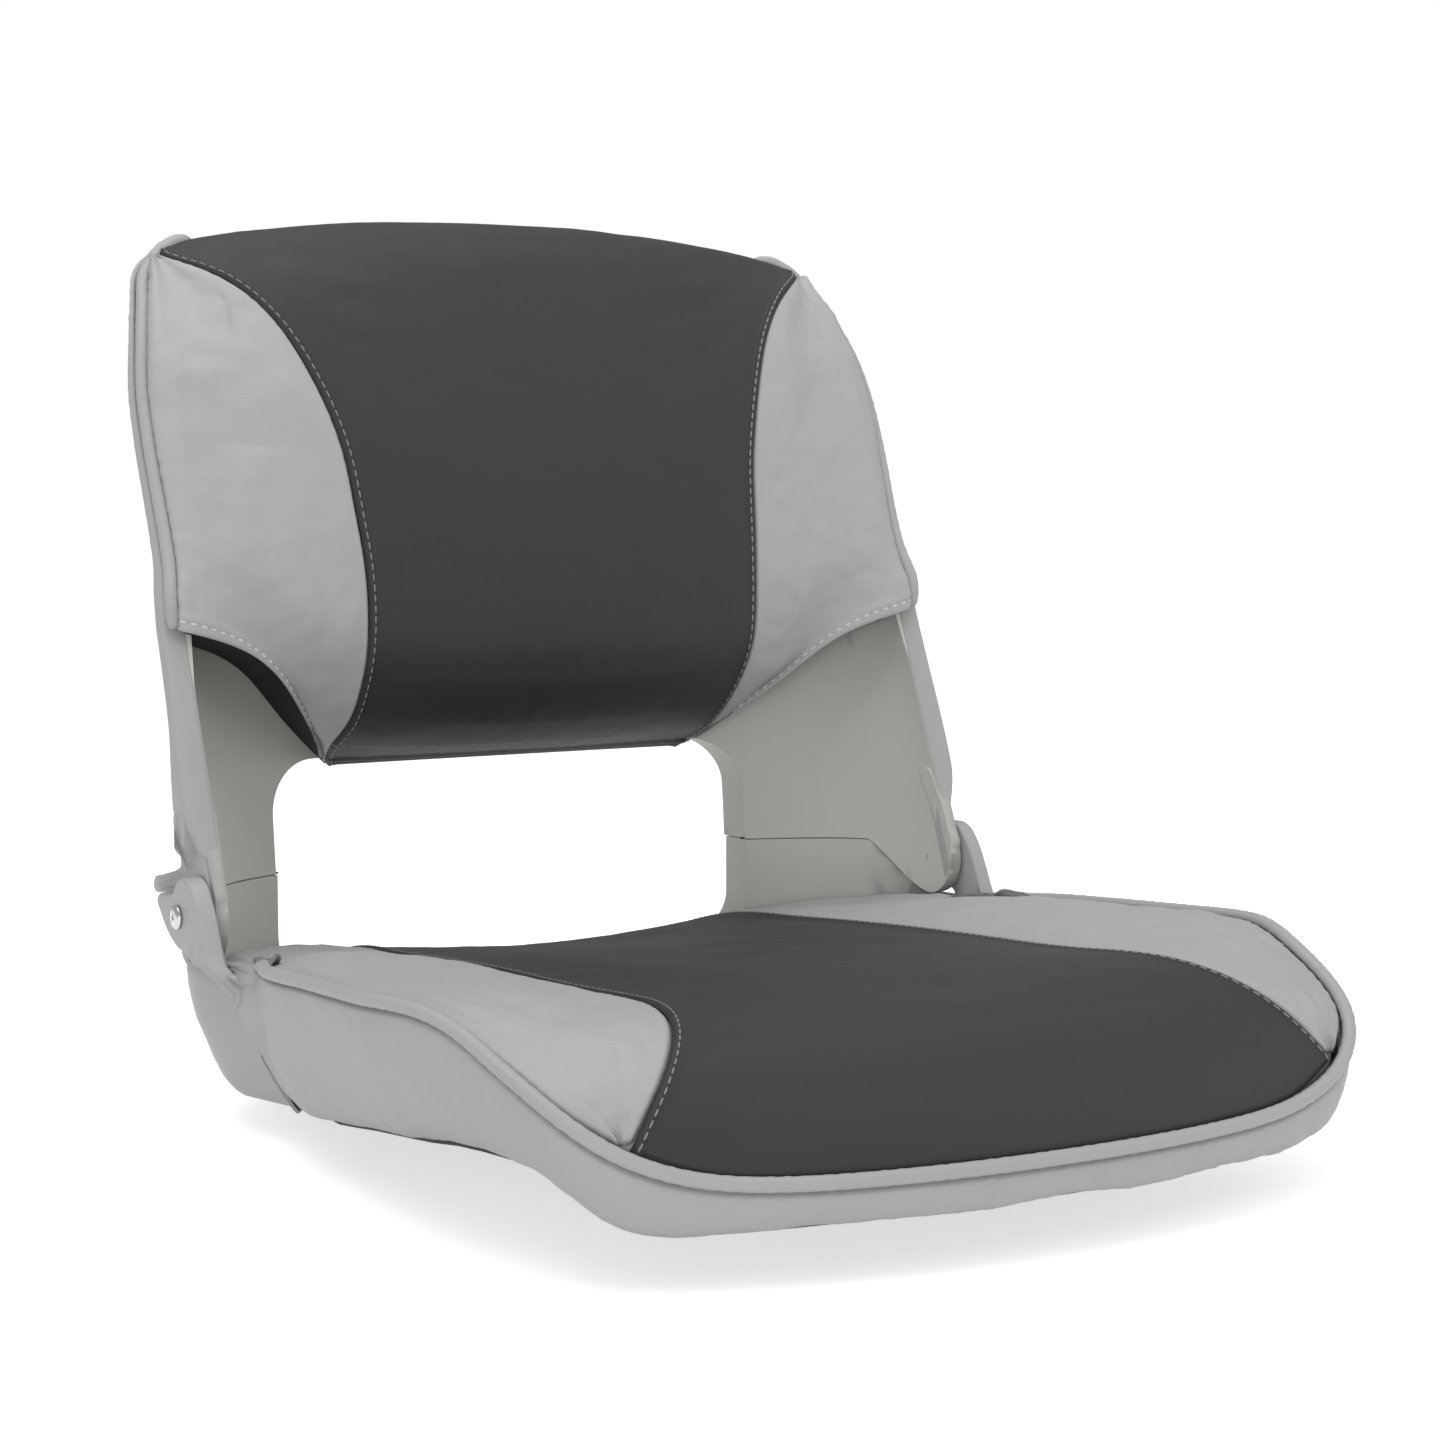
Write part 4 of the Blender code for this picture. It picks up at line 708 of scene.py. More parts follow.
def line_at(made, out, side, distance):
    """A line on a cover at a distance from one side, and the normals along it."""
    axis = 0 if side in ("top", "bottom") else 1
    run, back = run_along(made, axis)
    away = run if side in ("top", "left") else back
    work = np.moveaxis(made, axis, 0)
    normal = np.moveaxis(out, axis, 0)
    away = np.moveaxis(away, axis, 0)
    if side in ("bottom", "right"):
        work, normal, away = work[::-1], normal[::-1], away[::-1]
    spots, ways = [], []
    for j in range(work.shape[1]):
        spots.append([np.interp(distance, away[:, j], work[:, j, c]) for c in range(3)])
        ways.append([np.interp(distance, away[:, j], normal[:, j, c]) for c in range(3)])
    return np.array(spots), np.array(ways)


# Padding
def nearest_points(points, others):
    """The distance from each point to the nearest of others, a block at a time."""
    found = np.empty(len(points))
    for start in range(0, len(points), 2000):
        block = points[start:start + 2000]
        found[start:start + 2000] = np.sqrt(((block[:, None] - others[None]) ** 2).sum(axis=2).min(axis=1))
    return found


def pad_core(node, name, lines, faces, finish, body, inset, cap):
    """The foam of one pad: remeshed, blown up between its seams by the cloth solver, then smoothed.
    Returns the field that says how far a cover point over it moves."""
    work = merged(node)
    mesh = bpy.data.meshes.new(name)
    work.to_mesh(mesh)
    work.free()
    pad = bpy.data.objects.new(name, mesh)
    bpy.context.scene.collection.objects.link(pad)
    bpy.ops.object.select_all(action="DESELECT")
    pad.select_set(True)
    bpy.context.view_layer.objects.active = pad
    mesh.remesh_voxel_size = PAD_VOXEL
    bpy.ops.object.voxel_remesh()
    mesh = pad.data
    count = len(mesh.vertices)
    start = np.empty(count * 3)
    mesh.vertices.foreach_get("co", start)
    start = start.reshape(-1, 3)
    way = np.array([v.normal for v in mesh.vertices])
    start = start - way * inset
    mesh.vertices.foreach_set("co", start.ravel())
    pinned = 1 - ramp(nearest_points(start, lines), 0.006, 0.020)
    pinned = np.maximum(pinned, ramp(nearest_points(start, faces), 0.006, 0.012))
    move = np.zeros_like(start)
    group = pad.vertex_groups.new(name="pinned")
    for k, weight in enumerate(pinned):
        group.add([k], float(weight), "REPLACE")
    cloth = pad.modifiers.new("cloth", "CLOTH")
    settings = cloth.settings
    settings.quality = 4
    settings.mass = 0.25
    settings.use_pressure = True
    settings.uniform_pressure_force = 4.0
    settings.vertex_group_mass = "pinned"
    settings.effector_weights.gravity = 0.0
    cloth.point_cache.frame_start, cloth.point_cache.frame_end = 1, 20
    for moment in range(1, 21):
        bpy.context.scene.frame_set(moment)
    shape = bpy.context.evaluated_depsgraph_get()
    blown = np.empty(count * 3)
    pad.evaluated_get(shape).data.vertices.foreach_get("co", blown)
    move = blown.reshape(-1, 3) - start
    far = np.linalg.norm(move, axis=1, keepdims=True)
    move *= np.minimum(1.0, cap / np.maximum(far, 1e-9))
    pad.modifiers.remove(cloth)
    pad.vertex_groups.clear()
    bpy.context.scene.frame_set(1)
    mesh.vertices.foreach_set("co", (start + move).ravel())
    mesh.update()
    mesh.shade_smooth()
    smooth = pad.modifiers.new("subdivision", "SUBSURF")
    smooth.levels = smooth.render_levels = 1
    mesh.materials.clear()
    mesh.materials.append(finish)
    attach(pad, body)
    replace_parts(pad, node)

    def near_mean(flat):
        made = np.zeros_like(flat)
        for first in range(0, len(flat), 1500):
            block = flat[first:first + 1500]
            gap = ((block[:, None] - start[None]) ** 2).sum(axis=2)
            near = np.argpartition(gap, 12, axis=1)[:, :12]
            share = np.exp(-np.take_along_axis(gap, near, axis=1) / 0.006**2) + 1e-9
            made[first:first + 1500] = ((move[near] * share[..., None]).sum(axis=1)
                                        / share.sum(axis=1, keepdims=True))
        return made

    def swell(points):
        """How far the cover moves at points: the mean of what lies near them."""
        rows, columns = points.shape[:2]
        down = np.unique(np.linspace(0, rows - 1, 44).astype(int))
        across = np.unique(np.linspace(0, columns - 1, 44).astype(int))
        few = near_mean(points[np.ix_(down, across)].reshape(-1, 3)).reshape(len(down), len(across), 3)
        tall = np.stack([np.stack([np.interp(np.arange(rows), down, few[:, j, c]) for c in range(3)], axis=1)
                         for j in range(len(across))], axis=1)
        wide = [np.stack([np.interp(np.arange(columns), across, tall[i, :, c]) for c in range(3)], axis=1)
                for i in range(rows)]
        return np.stack(wide, axis=0)
    return swell


def seam_points(*grids_and_columns):
    """Points along the given borders of cover panels."""
    found = []
    for grid, pick in grids_and_columns:
        line = {"left": grid[:, 0], "right": grid[:, -1], "top": grid[0], "bottom": grid[-1]}[pick]
        found.append(read_line(line, 0.004)[0])
    return np.concatenate(found)


# The scene
set_camera()

# Each vinyl's second colour is painted shade, for its seam grooves and its inner face
CHARCOAL = vinyl("vinyl_charcoal", (0.035, 0.035, 0.035), (0.018, 0.018, 0.018), 0.56)
GREY = vinyl("vinyl_grey", (0.445, 0.445, 0.447), (0.16, 0.16, 0.16), 0.50)
GREY_EDGE = vinyl("vinyl_grey_edge", (0.43, 0.43, 0.432), (0.20, 0.20, 0.20), 0.50, 0.7)
GREY_TUCK = vinyl("vinyl_grey_tuck", (0.40, 0.40, 0.402), (0.20, 0.20, 0.20), 0.55)
# Black painted shadow, for the sheets under the backrest pad's hem and for the backrest's foam core
PAINTED_SHADOW_BLACK = plain_grain("painted_shadow_black", (0.006, 0.006, 0.006), 0.9, 600.0, 0.0003)
# The shell's second colour is for the webs: a greener tint, and lighter as painted fill light for their
# inward faces
SHELL = moulded("shell_plastic", (0.43, 0.435, 0.42), (0.585, 0.607, 0.555), 0.48)
# Black for the seat's retainer strip, and painted shadow for the strips in the parting line
RETAINER_AND_SHADOW_BLACK = plain_grain("retainer_black", (0.012, 0.012, 0.012), 0.6)
STEEL = metal("screw_steel", (0.62, 0.62, 0.63), 0.28, 1400.0)
BRASS = metal("insert_brass", (0.66, 0.50, 0.22), 0.34, 1100.0)
NYLON = plain_grain("bush_nylon", (0.80, 0.80, 0.77), 0.45)
THREAD_DARK = thread_finish("thread_on_charcoal", (0.30, 0.30, 0.30))
THREAD_LIGHT = thread_finish("thread_on_grey", (0.78, 0.78, 0.78))

# Pads
DATUM = np.array((0.0, 0.040, 0.084))
BACK_CENTRE = grid_of("back_centre_panel", 19, 13, (0, 0, -1), (1, 0, 0), (0, -1, 0))
SEAT_CENTRE = grid_of("seat_centre_panel", 15, 13, (0, -1, 0), (1, 0, 0), (0, 0, 1))
MIRROR = np.array((-1.0, 1.0, 1.0))


def both_sides(grid):
    """A left-hand grid and its mirror image, both with the seam first and the outer edge last."""
    return {"left": grid, "right": grid * MIRROR}


BACK_SIDES = both_sides(grid_of("back_side_panel_left", 15, 4, (0, 0, -1), (1, 0, 0), (0, -1, 0)))
SEAT_SIDES = both_sides(grid_of("seat_side_panel_left", 15, 4, (0, -1, 0), (1, 0, 0), (0, 0, 1)))


def set_out(grid, top, low, shares):
    """Moves the columns of a left-hand grid outward, by one amount at its top and another low down."""
    height = ramp(grid[:, -1:, 2:] - DATUM[2], 0.15, 0.335)
    shift = np.array(low) + (np.array(top) - np.array(low)) * height
    return grid + shift * np.array(shares)[None, :, None]


def lowered(points):
    """The rear corners of the seat's covers, let down to the wall of the shell."""
    points = np.array(points, float)
    drop = ramp(points[..., 1] - DATUM[1], -0.040, 0.070) * ramp(np.abs(points[..., 0]), 0.110, 0.185)
    points[..., 2] -= 0.009 * drop
    return points


def reach_wall(grid):
    """A seat side cover with one more row behind it, tucked down against the shell."""
    first = grid[0] - DATUM
    row = []
    for x, y, z in first:
        turn = math.atan2(max(y - 0.045, 0.0) / 0.1366, x / 0.2046)
        aft = 0.045 + 0.1366 * math.sin(turn) if y > 0.045 else y
        wall = np.array((0.2046 * math.cos(turn), aft, z - 0.0030))
        share = float(ramp(x, 0.120, 0.150))
        row.append((x, y + 0.0008, z - 0.0006) + (wall - (x, y, z)) * share)
    row[-1] = (first[-1][0] + 0.0022, first[-1][1] + 0.0070, first[-1][2] - 0.0035)
    return np.concatenate((np.array(row)[None] + DATUM, grid))


side_cover = set_out(BACK_SIDES["left"], (0.0032, 0.0003, 0.0), (0.0038, 0.0005, 0.0), (0, 0.12, 0.45, 1.0))
side_cover[-1, 1] += (0.0, -0.0045, -0.0045)
side_cover[-1, 2] += (0.0, -0.0010, -0.0012)
side_cover = np.concatenate((side_cover, side_cover[:, -1:] + (-0.0004, 0.0048, 0.0)), axis=1)
BACK_SIDE_COVERS = both_sides(side_cover)
SHOULDER = np.array((((0.1702, 0.1862, 0.3362), (0.1703, 0.1880, 0.3352), (0.1703, 0.1894, 0.3334),
                      (0.1702, 0.1902, 0.3312)),
                     ((0.1832, 0.1843, 0.3358), (0.1838, 0.1870, 0.3350), (0.1834, 0.1895, 0.3333),
                      (0.1822, 0.1908, 0.3308)),
                     ((0.1898, 0.1822, 0.3312), (0.1908, 0.1850, 0.3306), (0.1898, 0.1880, 0.3296),
                      (0.1876, 0.1893, 0.3284)))) + DATUM
side_band = set_out(grid_of("back_side_band_left", 15, 4, (0, 0, -1), (0, 1, 0), (1, 0, 0)),
                    (0.0008, 0.0054, 0.0), (0.0033, 0.0013, 0.0), (1.0, 0.85, 0.45, 0.0))
side_band = np.concatenate((SHOULDER, side_band[1:]))
side_band = np.concatenate((side_band, side_band[:, -1:] + (-0.0090, -0.0012, -0.0020)), axis=1)
BACK_BANDS = both_sides(side_band)
cord = line_of("back_piping_left", 8, (0.206, 0.13, 0.23))
cord = cord if cord[0, 2] < cord[-1, 2] else cord[::-1]
cord = set_out(cord[:, None], (0.0010, 0.0044, 0.0), (0.0033, 0.0013, 0.0), (1.0,))[:, 0]
BACK_PIPING = both_sides(np.vstack((cord[:-1], np.array((
    (0.1893, 0.1747, 0.3286), (0.1857, 0.1761, 0.3329), (0.1812, 0.1779, 0.3361), (0.1762, 0.1791, 0.3387),
    (0.1711, 0.1812, 0.3399), (0.1671, 0.1841, 0.3386), (0.1650, 0.1872, 0.3345))) + DATUM)))
SEAT_SIDE_COVERS = both_sides(lowered(reach_wall(SEAT_SIDES["left"])))
# The backrest's foam core takes the black painted-shadow finish
BACK_SWELL = pad_core(
    "back_foam", "back_pad_core",
    seam_points((BACK_CENTRE, "left"), (BACK_CENTRE, "right"), (BACK_CENTRE, "bottom"), (BACK_CENTRE, "top"),
                *[(grid, pick) for grid in BACK_SIDES.values() for pick in ("right", "bottom", "top")]),
    np.concatenate([BACK_CENTRE.reshape(-1, 3)] + [dense(dense(g, 0, 40), 1, 16).reshape(-1, 3)
                                                   for g in BACK_SIDES.values()]
                   + [dense(dense(BACK_CENTRE, 0, 50), 1, 50).reshape(-1, 3)]),
    PAINTED_SHADOW_BLACK, "backrest", 0.0012, 0.0045)
SEAT_SWELL = pad_core(
    "seat_foam", "seat_pad_core",
    seam_points((SEAT_CENTRE, "left"), (SEAT_CENTRE, "right"), (SEAT_CENTRE, "bottom"), (SEAT_CENTRE, "top"),
                *[(grid, pick) for grid in SEAT_SIDES.values() for pick in ("right", "bottom", "top")]),
    np.concatenate([dense(dense(SEAT_CENTRE, 0, 60), 1, 50).reshape(-1, 3)]
                   + [dense(dense(g, 0, 50), 1, 16).reshape(-1, 3) for g in SEAT_SIDES.values()]),
    GREY_TUCK, "seat", 0.0012, 0.0045)
seat_core = bpy.data.objects["seat_pad_core"].data
for corner in seat_core.vertices:
    corner.co = lowered(corner.co)

# Backrest cover
centre = BACK_CENTRE
made, out, seam = cover(centre, ("open", "hem", "fell", "fell"), 0.0004, 0.0004, BACK_SWELL)
finish_cover("back_centre_cover", made, out, seam, CHARCOAL, "backrest",
             ("back_centre_panel",))
for side in ("left", "right"):
    line, ways = line_at(made, out, side, 0.0037)
    other = "right" if side == "left" else "left"
    stitch_row(f"back_seam_stitches_{other}", line, ways, THREAD_DARK, "backrest")
line, ways = line_at(made, out, "bottom", 0.0300)
stitch_row("back_hem_stitches_centre", line, ways, THREAD_DARK, "backrest", 0.0046, 0.0038, 0.00028)

for name, sign in (("left", 1), ("right", -1)):
    grid = BACK_SIDE_COVERS[name]
    if sign < 0:
        grid = grid[:, ::-1]
    kinds = ("open", "hem", "seam", "piping") if sign > 0 else ("open", "hem", "piping", "seam")
    made, out, seam = cover(grid, kinds, 0.0006, 0.0021, BACK_SWELL, 0.0003, 0.0009)
    finish_cover(f"back_side_cover_{name}", made, out, seam, GREY, "backrest",
                 (f"back_side_panel_{name}",))
    line, ways = line_at(made, out, "bottom", 0.0052)
    stitch_row(f"back_hem_stitches_{name}", line, ways, THREAD_LIGHT, "backrest",
               0.0056, 0.0034, 0.00062, 0.0)
    band = BACK_BANDS[name]
    if sign < 0:
        band = band[:, ::-1]
    made, out, seam = cover(band, ("open", "open", "piping", "piping"), 0.0, 0.0004)
    finish_cover(f"back_side_band_cover_{name}", made, out, seam, GREY_EDGE, "backrest",
                 (f"back_side_band_{name}",))
    line = BACK_PIPING[name]
    mesh = tube_along(f"back_piping_cord_{name}", line, PIPING + 0.0001)
    piece(f"back_piping_cord_{name}", mesh, GREY_EDGE, "backrest", (f"back_piping_{name}",))

rear = grid_of("back_rear_panel", 15, 21, (0, 0, -1), (-1, 0, 0), (0, 1, 0))
made, out, seam = cover(rear, ("seam", "hem", "seam", "seam"), 0.0, 0.0005)
finish_cover("back_rear_cover", made, out, seam, GREY_EDGE, "backrest", ("back_rear_panel",))
line, ways = line_at(made, out, "bottom", 0.0052)
stitch_row("back_hem_stitches_rear", line, ways, THREAD_LIGHT, "backrest", thick=0.0005)

# Seat cover
centre = SEAT_CENTRE
made, out, seam = cover(centre, ("open", "piping", "fell", "fell"), 0.0004, 0.0005, SEAT_SWELL)
finish_cover("seat_centre_cover", made, out, seam, CHARCOAL, "seat",
             ("seat_centre_panel",))
for side in ("left", "right"):
    line, ways = line_at(made, out, side, 0.0037)
    stitch_row(f"seat_seam_stitches_{'right' if side == 'left' else 'left'}", line, ways, THREAD_DARK, "seat")
for name, sign in (("left", 1), ("right", -1)):
    grid = SEAT_SIDE_COVERS[name]
    if sign < 0:
        grid = grid[:, ::-1]
    kinds = ("open", "seam", "seam", "piping") if sign > 0 else ("open", "seam", "piping", "seam")
    made, out, seam = cover(grid, kinds, 0.0004, 0.0016, SEAT_SWELL, 0.0003, 0.0012)
    finish_cover(f"seat_side_cover_{name}", made, out, seam, GREY, "seat",
                 (f"seat_side_panel_{name}",))
line = lowered(line_of("seat_piping", 8, (0.2047, 0.0405, 0.0868)))
line = np.vstack((line[:1] + (0.0004, 0.0050, -0.0014), line, line[-1:] + (-0.0004, 0.0050, -0.0014)))
mesh = tube_along("seat_piping_cord", line, PIPING + 0.0001)
piece("seat_piping_cord", mesh, GREY_EDGE, "seat", ("seat_piping",))


# Shells
WALL = 0.0040
PIVOT_AFT, PIVOT_RISE = 0.0620, 0.0160
BUCKET_HALF, BUCKET_STRAIGHT, BUCKET_AFT = 0.2080, 0.045, 0.140
BUCKET_DEPTH, BUCKET_TUCK, POST_TOP = 0.066, 0.044, 0.022
LUG_INNER, LUG_THICKNESS, EAR_INNER = 0.2125, 0.0090, 0.2035
EAR_RADIUS = 0.0195
SEAT_BAND = ((0.0, 0.235, 0.13), (0.21, 0.25, 0.17), (0.31, 0.33, 0.30), (0.37, 0.46, 0.42),
             (0.42, 0.51, 0.55), (0.47, 0.58, 0.68), (0.53, 0.74, 0.80), (0.58, 0.856, 0.92),
             (0.64, 0.886, 1.00), (0.79, 0.947, 0.92), (0.90, 1.02, 0.85), (1.0, 1.06, 0.70))
BACK_HALF = ((0.00, 1.00), (0.34, 1.00), (0.44, 0.984), (0.54, 0.970), (0.69, 0.975), (0.80, 0.962),
             (0.87, 0.938), (0.93, 0.894), (1.00, 0.84))
LUG = ((0.0150, -0.0150), (0.0190, -0.0070), (0.0250, 0.0000), (0.0310, 0.0120), (0.0385, 0.0250),
       (0.0482, 0.0343), (0.0560, 0.0360), (0.0640, 0.0342), (0.0715, 0.0272), (0.0806, 0.0248),
       (0.0905, 0.0240), (0.0930, 0.0212), (0.0878, 0.0145), (0.0779, 0.0061), (0.0650, 0.0001),
       (0.0506, -0.0026), (0.0464, -0.0086), (0.0400, -0.0225), (0.0220, -0.0240))
FOOT = ((0.0150, -0.0070), (0.0300, -0.0060), (0.0480, -0.0060), (0.0460, -0.0100), (0.0400, -0.0220),
        (0.0230, -0.0235), (0.0160, -0.0160))
LEDGE = ((0.002, -0.0070), (0.000, -0.0035), (0.003, -0.0018), (0.014, -0.0016), (0.028, -0.0028),
         (0.040, -0.0034), (0.052, -0.0053), (0.062, -0.0057), (0.070, -0.0040), (0.0752, -0.0008),
         (0.0785, 0.0028), (0.0820, 0.0030), (0.0840, -0.0050), (0.070, -0.0120), (0.010, -0.0090))
STOP = ((0.0700, 0.0360), (0.0760, 0.0286), (0.0820, 0.0257), (0.0935, 0.0249), (0.0975, 0.0230),
        (0.1020, 0.0228), (0.1042, 0.0262), (0.1028, 0.0296), (0.0945, 0.0318), (0.0855, 0.0346),
        (0.0788, 0.0393), (0.0752, 0.0455), (0.0742, 0.0540), (0.0745, 0.0640), (0.0700, 0.0680),
        (0.0640, 0.0650), (0.0620, 0.0540), (0.0640, 0.0440))
TONGUE = ((0.0625, 0.0640), (0.0563, 0.0555), (0.0502, 0.0445), (0.0453, 0.0330), (0.0404, 0.0235),
          (0.0393, 0.0165), (0.0408, 0.0108), (0.0452, 0.0076), (0.0496, 0.0104), (0.0508, 0.0165),
          (0.0514, 0.0235), (0.0548, 0.0330), (0.0595, 0.0450), (0.0660, 0.0640))
FLANGE = ((0.05, 0.33, 0.95), (0.083, 0.38, 1.30), (0.136, 0.62, 1.90), (0.193, 0.88, 2.30),
          (0.24, 1.05, 2.35), (0.288, 1.16, 2.20), (0.42, 1.19, 1.62), (0.587, 1.10, 1.08),
          (0.70, 1.05, 1.00), (0.92, 1.00, 1.00), (1.02, 1.00, 0.98), (1.05, 0.90, 0.95), (1.10, 0.30, 0.85))


def parting_rise(aft):
    """The level at which the two mouldings part: it falls a little towards the back."""
    return POST_TOP - 0.0026 * float(ramp(aft, 0.100, 0.165))


def leg_line(up):
    """How far aft the front edge of the backrest's side lies at a height."""
    return 0.045 + (np.asarray(up) - 0.029) * 0.41


def back_half(up):
    table = np.array(BACK_HALF)
    return BUCKET_HALF * np.interp(np.asarray(up) / 0.3535, table[:, 0], table[:, 1])


def smooth_loop(points, steps=6):
    """A closed line through points, rounded between them."""
    p = np.array(points, float)
    ahead, later, before = np.roll(p, -1, 0), np.roll(p, -2, 0), np.roll(p, 1, 0)
    near, far = np.linalg.norm(ahead - p, axis=1), np.linalg.norm(later - ahead, axis=1)
    back = np.linalg.norm(p - before, axis=1)
    made = []
    for k in range(len(p)):
        start = ((ahead[k] - p[k]) / near[k] * back[k]
                 + (p[k] - before[k]) / back[k] * near[k]) / (near[k] + back[k])
        end = ((later[k] - ahead[k]) / far[k] * near[k]
               + (ahead[k] - p[k]) / near[k] * far[k]) / (near[k] + far[k])
        for t in np.arange(steps) / steps:
            made.append((2 * t**3 - 3 * t**2 + 1) * p[k] + (t**3 - 2 * t**2 + t) * near[k] * start
                        + (3 * t**2 - 2 * t**3) * ahead[k] + (t**3 - t**2) * near[k] * end)
    return np.array(made)


def solid(name, points, faces):
    """A closed mesh in the row's frame from points about the datum."""
    return from_points(name, np.asarray(points) + DATUM, faces)


def lofted(name, rings):
    """A solid through rings of points, with its two ends capped."""
    rings = np.asarray(rings)
    count, size = rings.shape[:2]
    faces = []
    for k in range(count - 1):
        for i in range(size):
            j = (i + 1) % size
            faces.append((k * size + i, k * size + j, (k + 1) * size + j, (k + 1) * size + i))
    faces.append(tuple(range(size)))
    faces.append(tuple(reversed(range((count - 1) * size, count * size))))
    return solid(name, rings.reshape(-1, 3), faces)


def joined(base, others, operation):
    """The mesh that is left of one mesh when others are added to it or taken from it."""
    bpy.ops.object.select_all(action="DESELECT")
    made = bpy.data.objects.new("blank", base)
    bpy.context.scene.collection.objects.link(made)
    bpy.context.view_layer.objects.active = made
    made.select_set(True)
    for mesh in others:
        tool = bpy.data.objects.new("cutter", mesh)
        bpy.context.scene.collection.objects.link(tool)
        cut = made.modifiers.new("cut", "BOOLEAN")
        cut.operation, cut.solver, cut.object = operation, "EXACT", tool
        bpy.ops.object.modifier_apply(modifier=cut.name)
        bpy.data.objects.remove(tool, do_unlink=True)
    mesh = made.data
    bpy.data.objects.remove(made, do_unlink=True)
    return mesh


def eased(made, width, angle=35.0, segments=2, smooth=40.0):
    """Rounds the sharp edges of a piece and shades it smooth."""
    bpy.ops.object.select_all(action="DESELECT")
    bpy.context.view_layer.objects.active = made
    made.select_set(True)
    edge = made.modifiers.new("edge", "BEVEL")
    edge.width, edge.segments, edge.limit_method = width, segments, "ANGLE"
    edge.angle_limit = math.radians(angle)
    edge.harden_normals = False
    bpy.ops.object.modifier_apply(modifier=edge.name)
    bpy.ops.object.shade_smooth_by_angle(angle=math.radians(smooth))
    made.select_set(False)
    return made


def cut_plate(name, outline, side, inner, outer, finish, body, bevel,
              draft=0.0, replaces=(), segments=3):
    """A moulded plate: a flat outline (aft, up) drawn out sideways, its edges rounded."""
    bpy.ops.object.select_all(action="DESELECT")
    bpy.ops.mesh.primitive_circle_add(vertices=len(outline), radius=0.01, fill_type="NGON")
    made = bpy.context.object
    made.name = name
    made.data.name = name
    for corner, (aft, up) in zip(made.data.vertices, outline):
        corner.co = (side * inner, aft + DATUM[1], up + DATUM[2])
    bpy.ops.object.mode_set(mode="EDIT")
    bpy.ops.mesh.select_all(action="SELECT")
    bpy.ops.mesh.extrude_region_move(TRANSFORM_OT_translate={"value": (side * (outer - inner), 0, 0)})
    bpy.ops.object.mode_set(mode="OBJECT")
    middle = np.mean(outline, axis=0)
    for corner in made.data.vertices:
        if abs(abs(corner.co.x) - outer) < 1e-6 and draft:
            spot = np.array((corner.co.y - DATUM[1], corner.co.z - DATUM[2])) - middle
            spot *= 1 - draft / max(np.linalg.norm(spot), draft * 3)
            corner.co.y, corner.co.z = middle[0] + spot[0] + DATUM[1], middle[1] + spot[1] + DATUM[2]
    bpy.ops.object.mode_set(mode="EDIT")
    bpy.ops.mesh.select_all(action="SELECT")
    bpy.ops.mesh.normals_make_consistent(inside=False)
    bpy.ops.object.mode_set(mode="OBJECT")
    made.location = (0, 0, 0)
    eased(made, bevel, 30.0, segments)
    made.data.materials.clear()
    made.data.materials.append(finish)
    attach(made, body)
    if replaces:
        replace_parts(made, *replaces)
    return made


def mark_web_tint_and_painted_fill(mesh):
    """Marks the inner faces and openings of a shell, whose plastic reads greener and is painted lighter
    there, as fill light for faces that get little light.
    """
    marks = []
    for corner in mesh.vertices:
        out = Vector((corner.co.x, corner.co.y - DATUM[1] - 0.045, 0.0)).normalized()
        edge = abs(corner.co.x) > 0.190 and corner.normal.y < -0.6
        inward = corner.normal.dot(out) < 0.3 and corner.co.y > DATUM[1] + 0.030
        marks.append(1.0 if inward and not edge else 0.0)
    mesh.attributes.new("web", "FLOAT", "POINT").data.foreach_set("value", marks)


def sink_into_bucket(mesh, side):
    """Lets the lower end of a lug fade into the bucket's side."""
    for corner in mesh.vertices:
        share = float(ramp(DATUM[2] - 0.001 - corner.co.z, 0.0, 0.015))
        corner.co.x = side * max(abs(corner.co.x) - 0.0115 * share, 0.2030)


def drawn_to_pivot(mesh, reach):
    """Draws the lower front corner of a backrest side in, so that it turns clear of the bucket."""
    for corner in mesh.vertices:
        aft, up = corner.co.y - DATUM[1] - PIVOT_AFT, corner.co.z - DATUM[2] - PIVOT_RISE
        far = math.hypot(aft, up)
        if aft < 0.0 and up < reach * 0.38 and far > reach:
            corner.co.y -= aft * (1 - reach / far)
            corner.co.z -= up * (1 - reach / far)


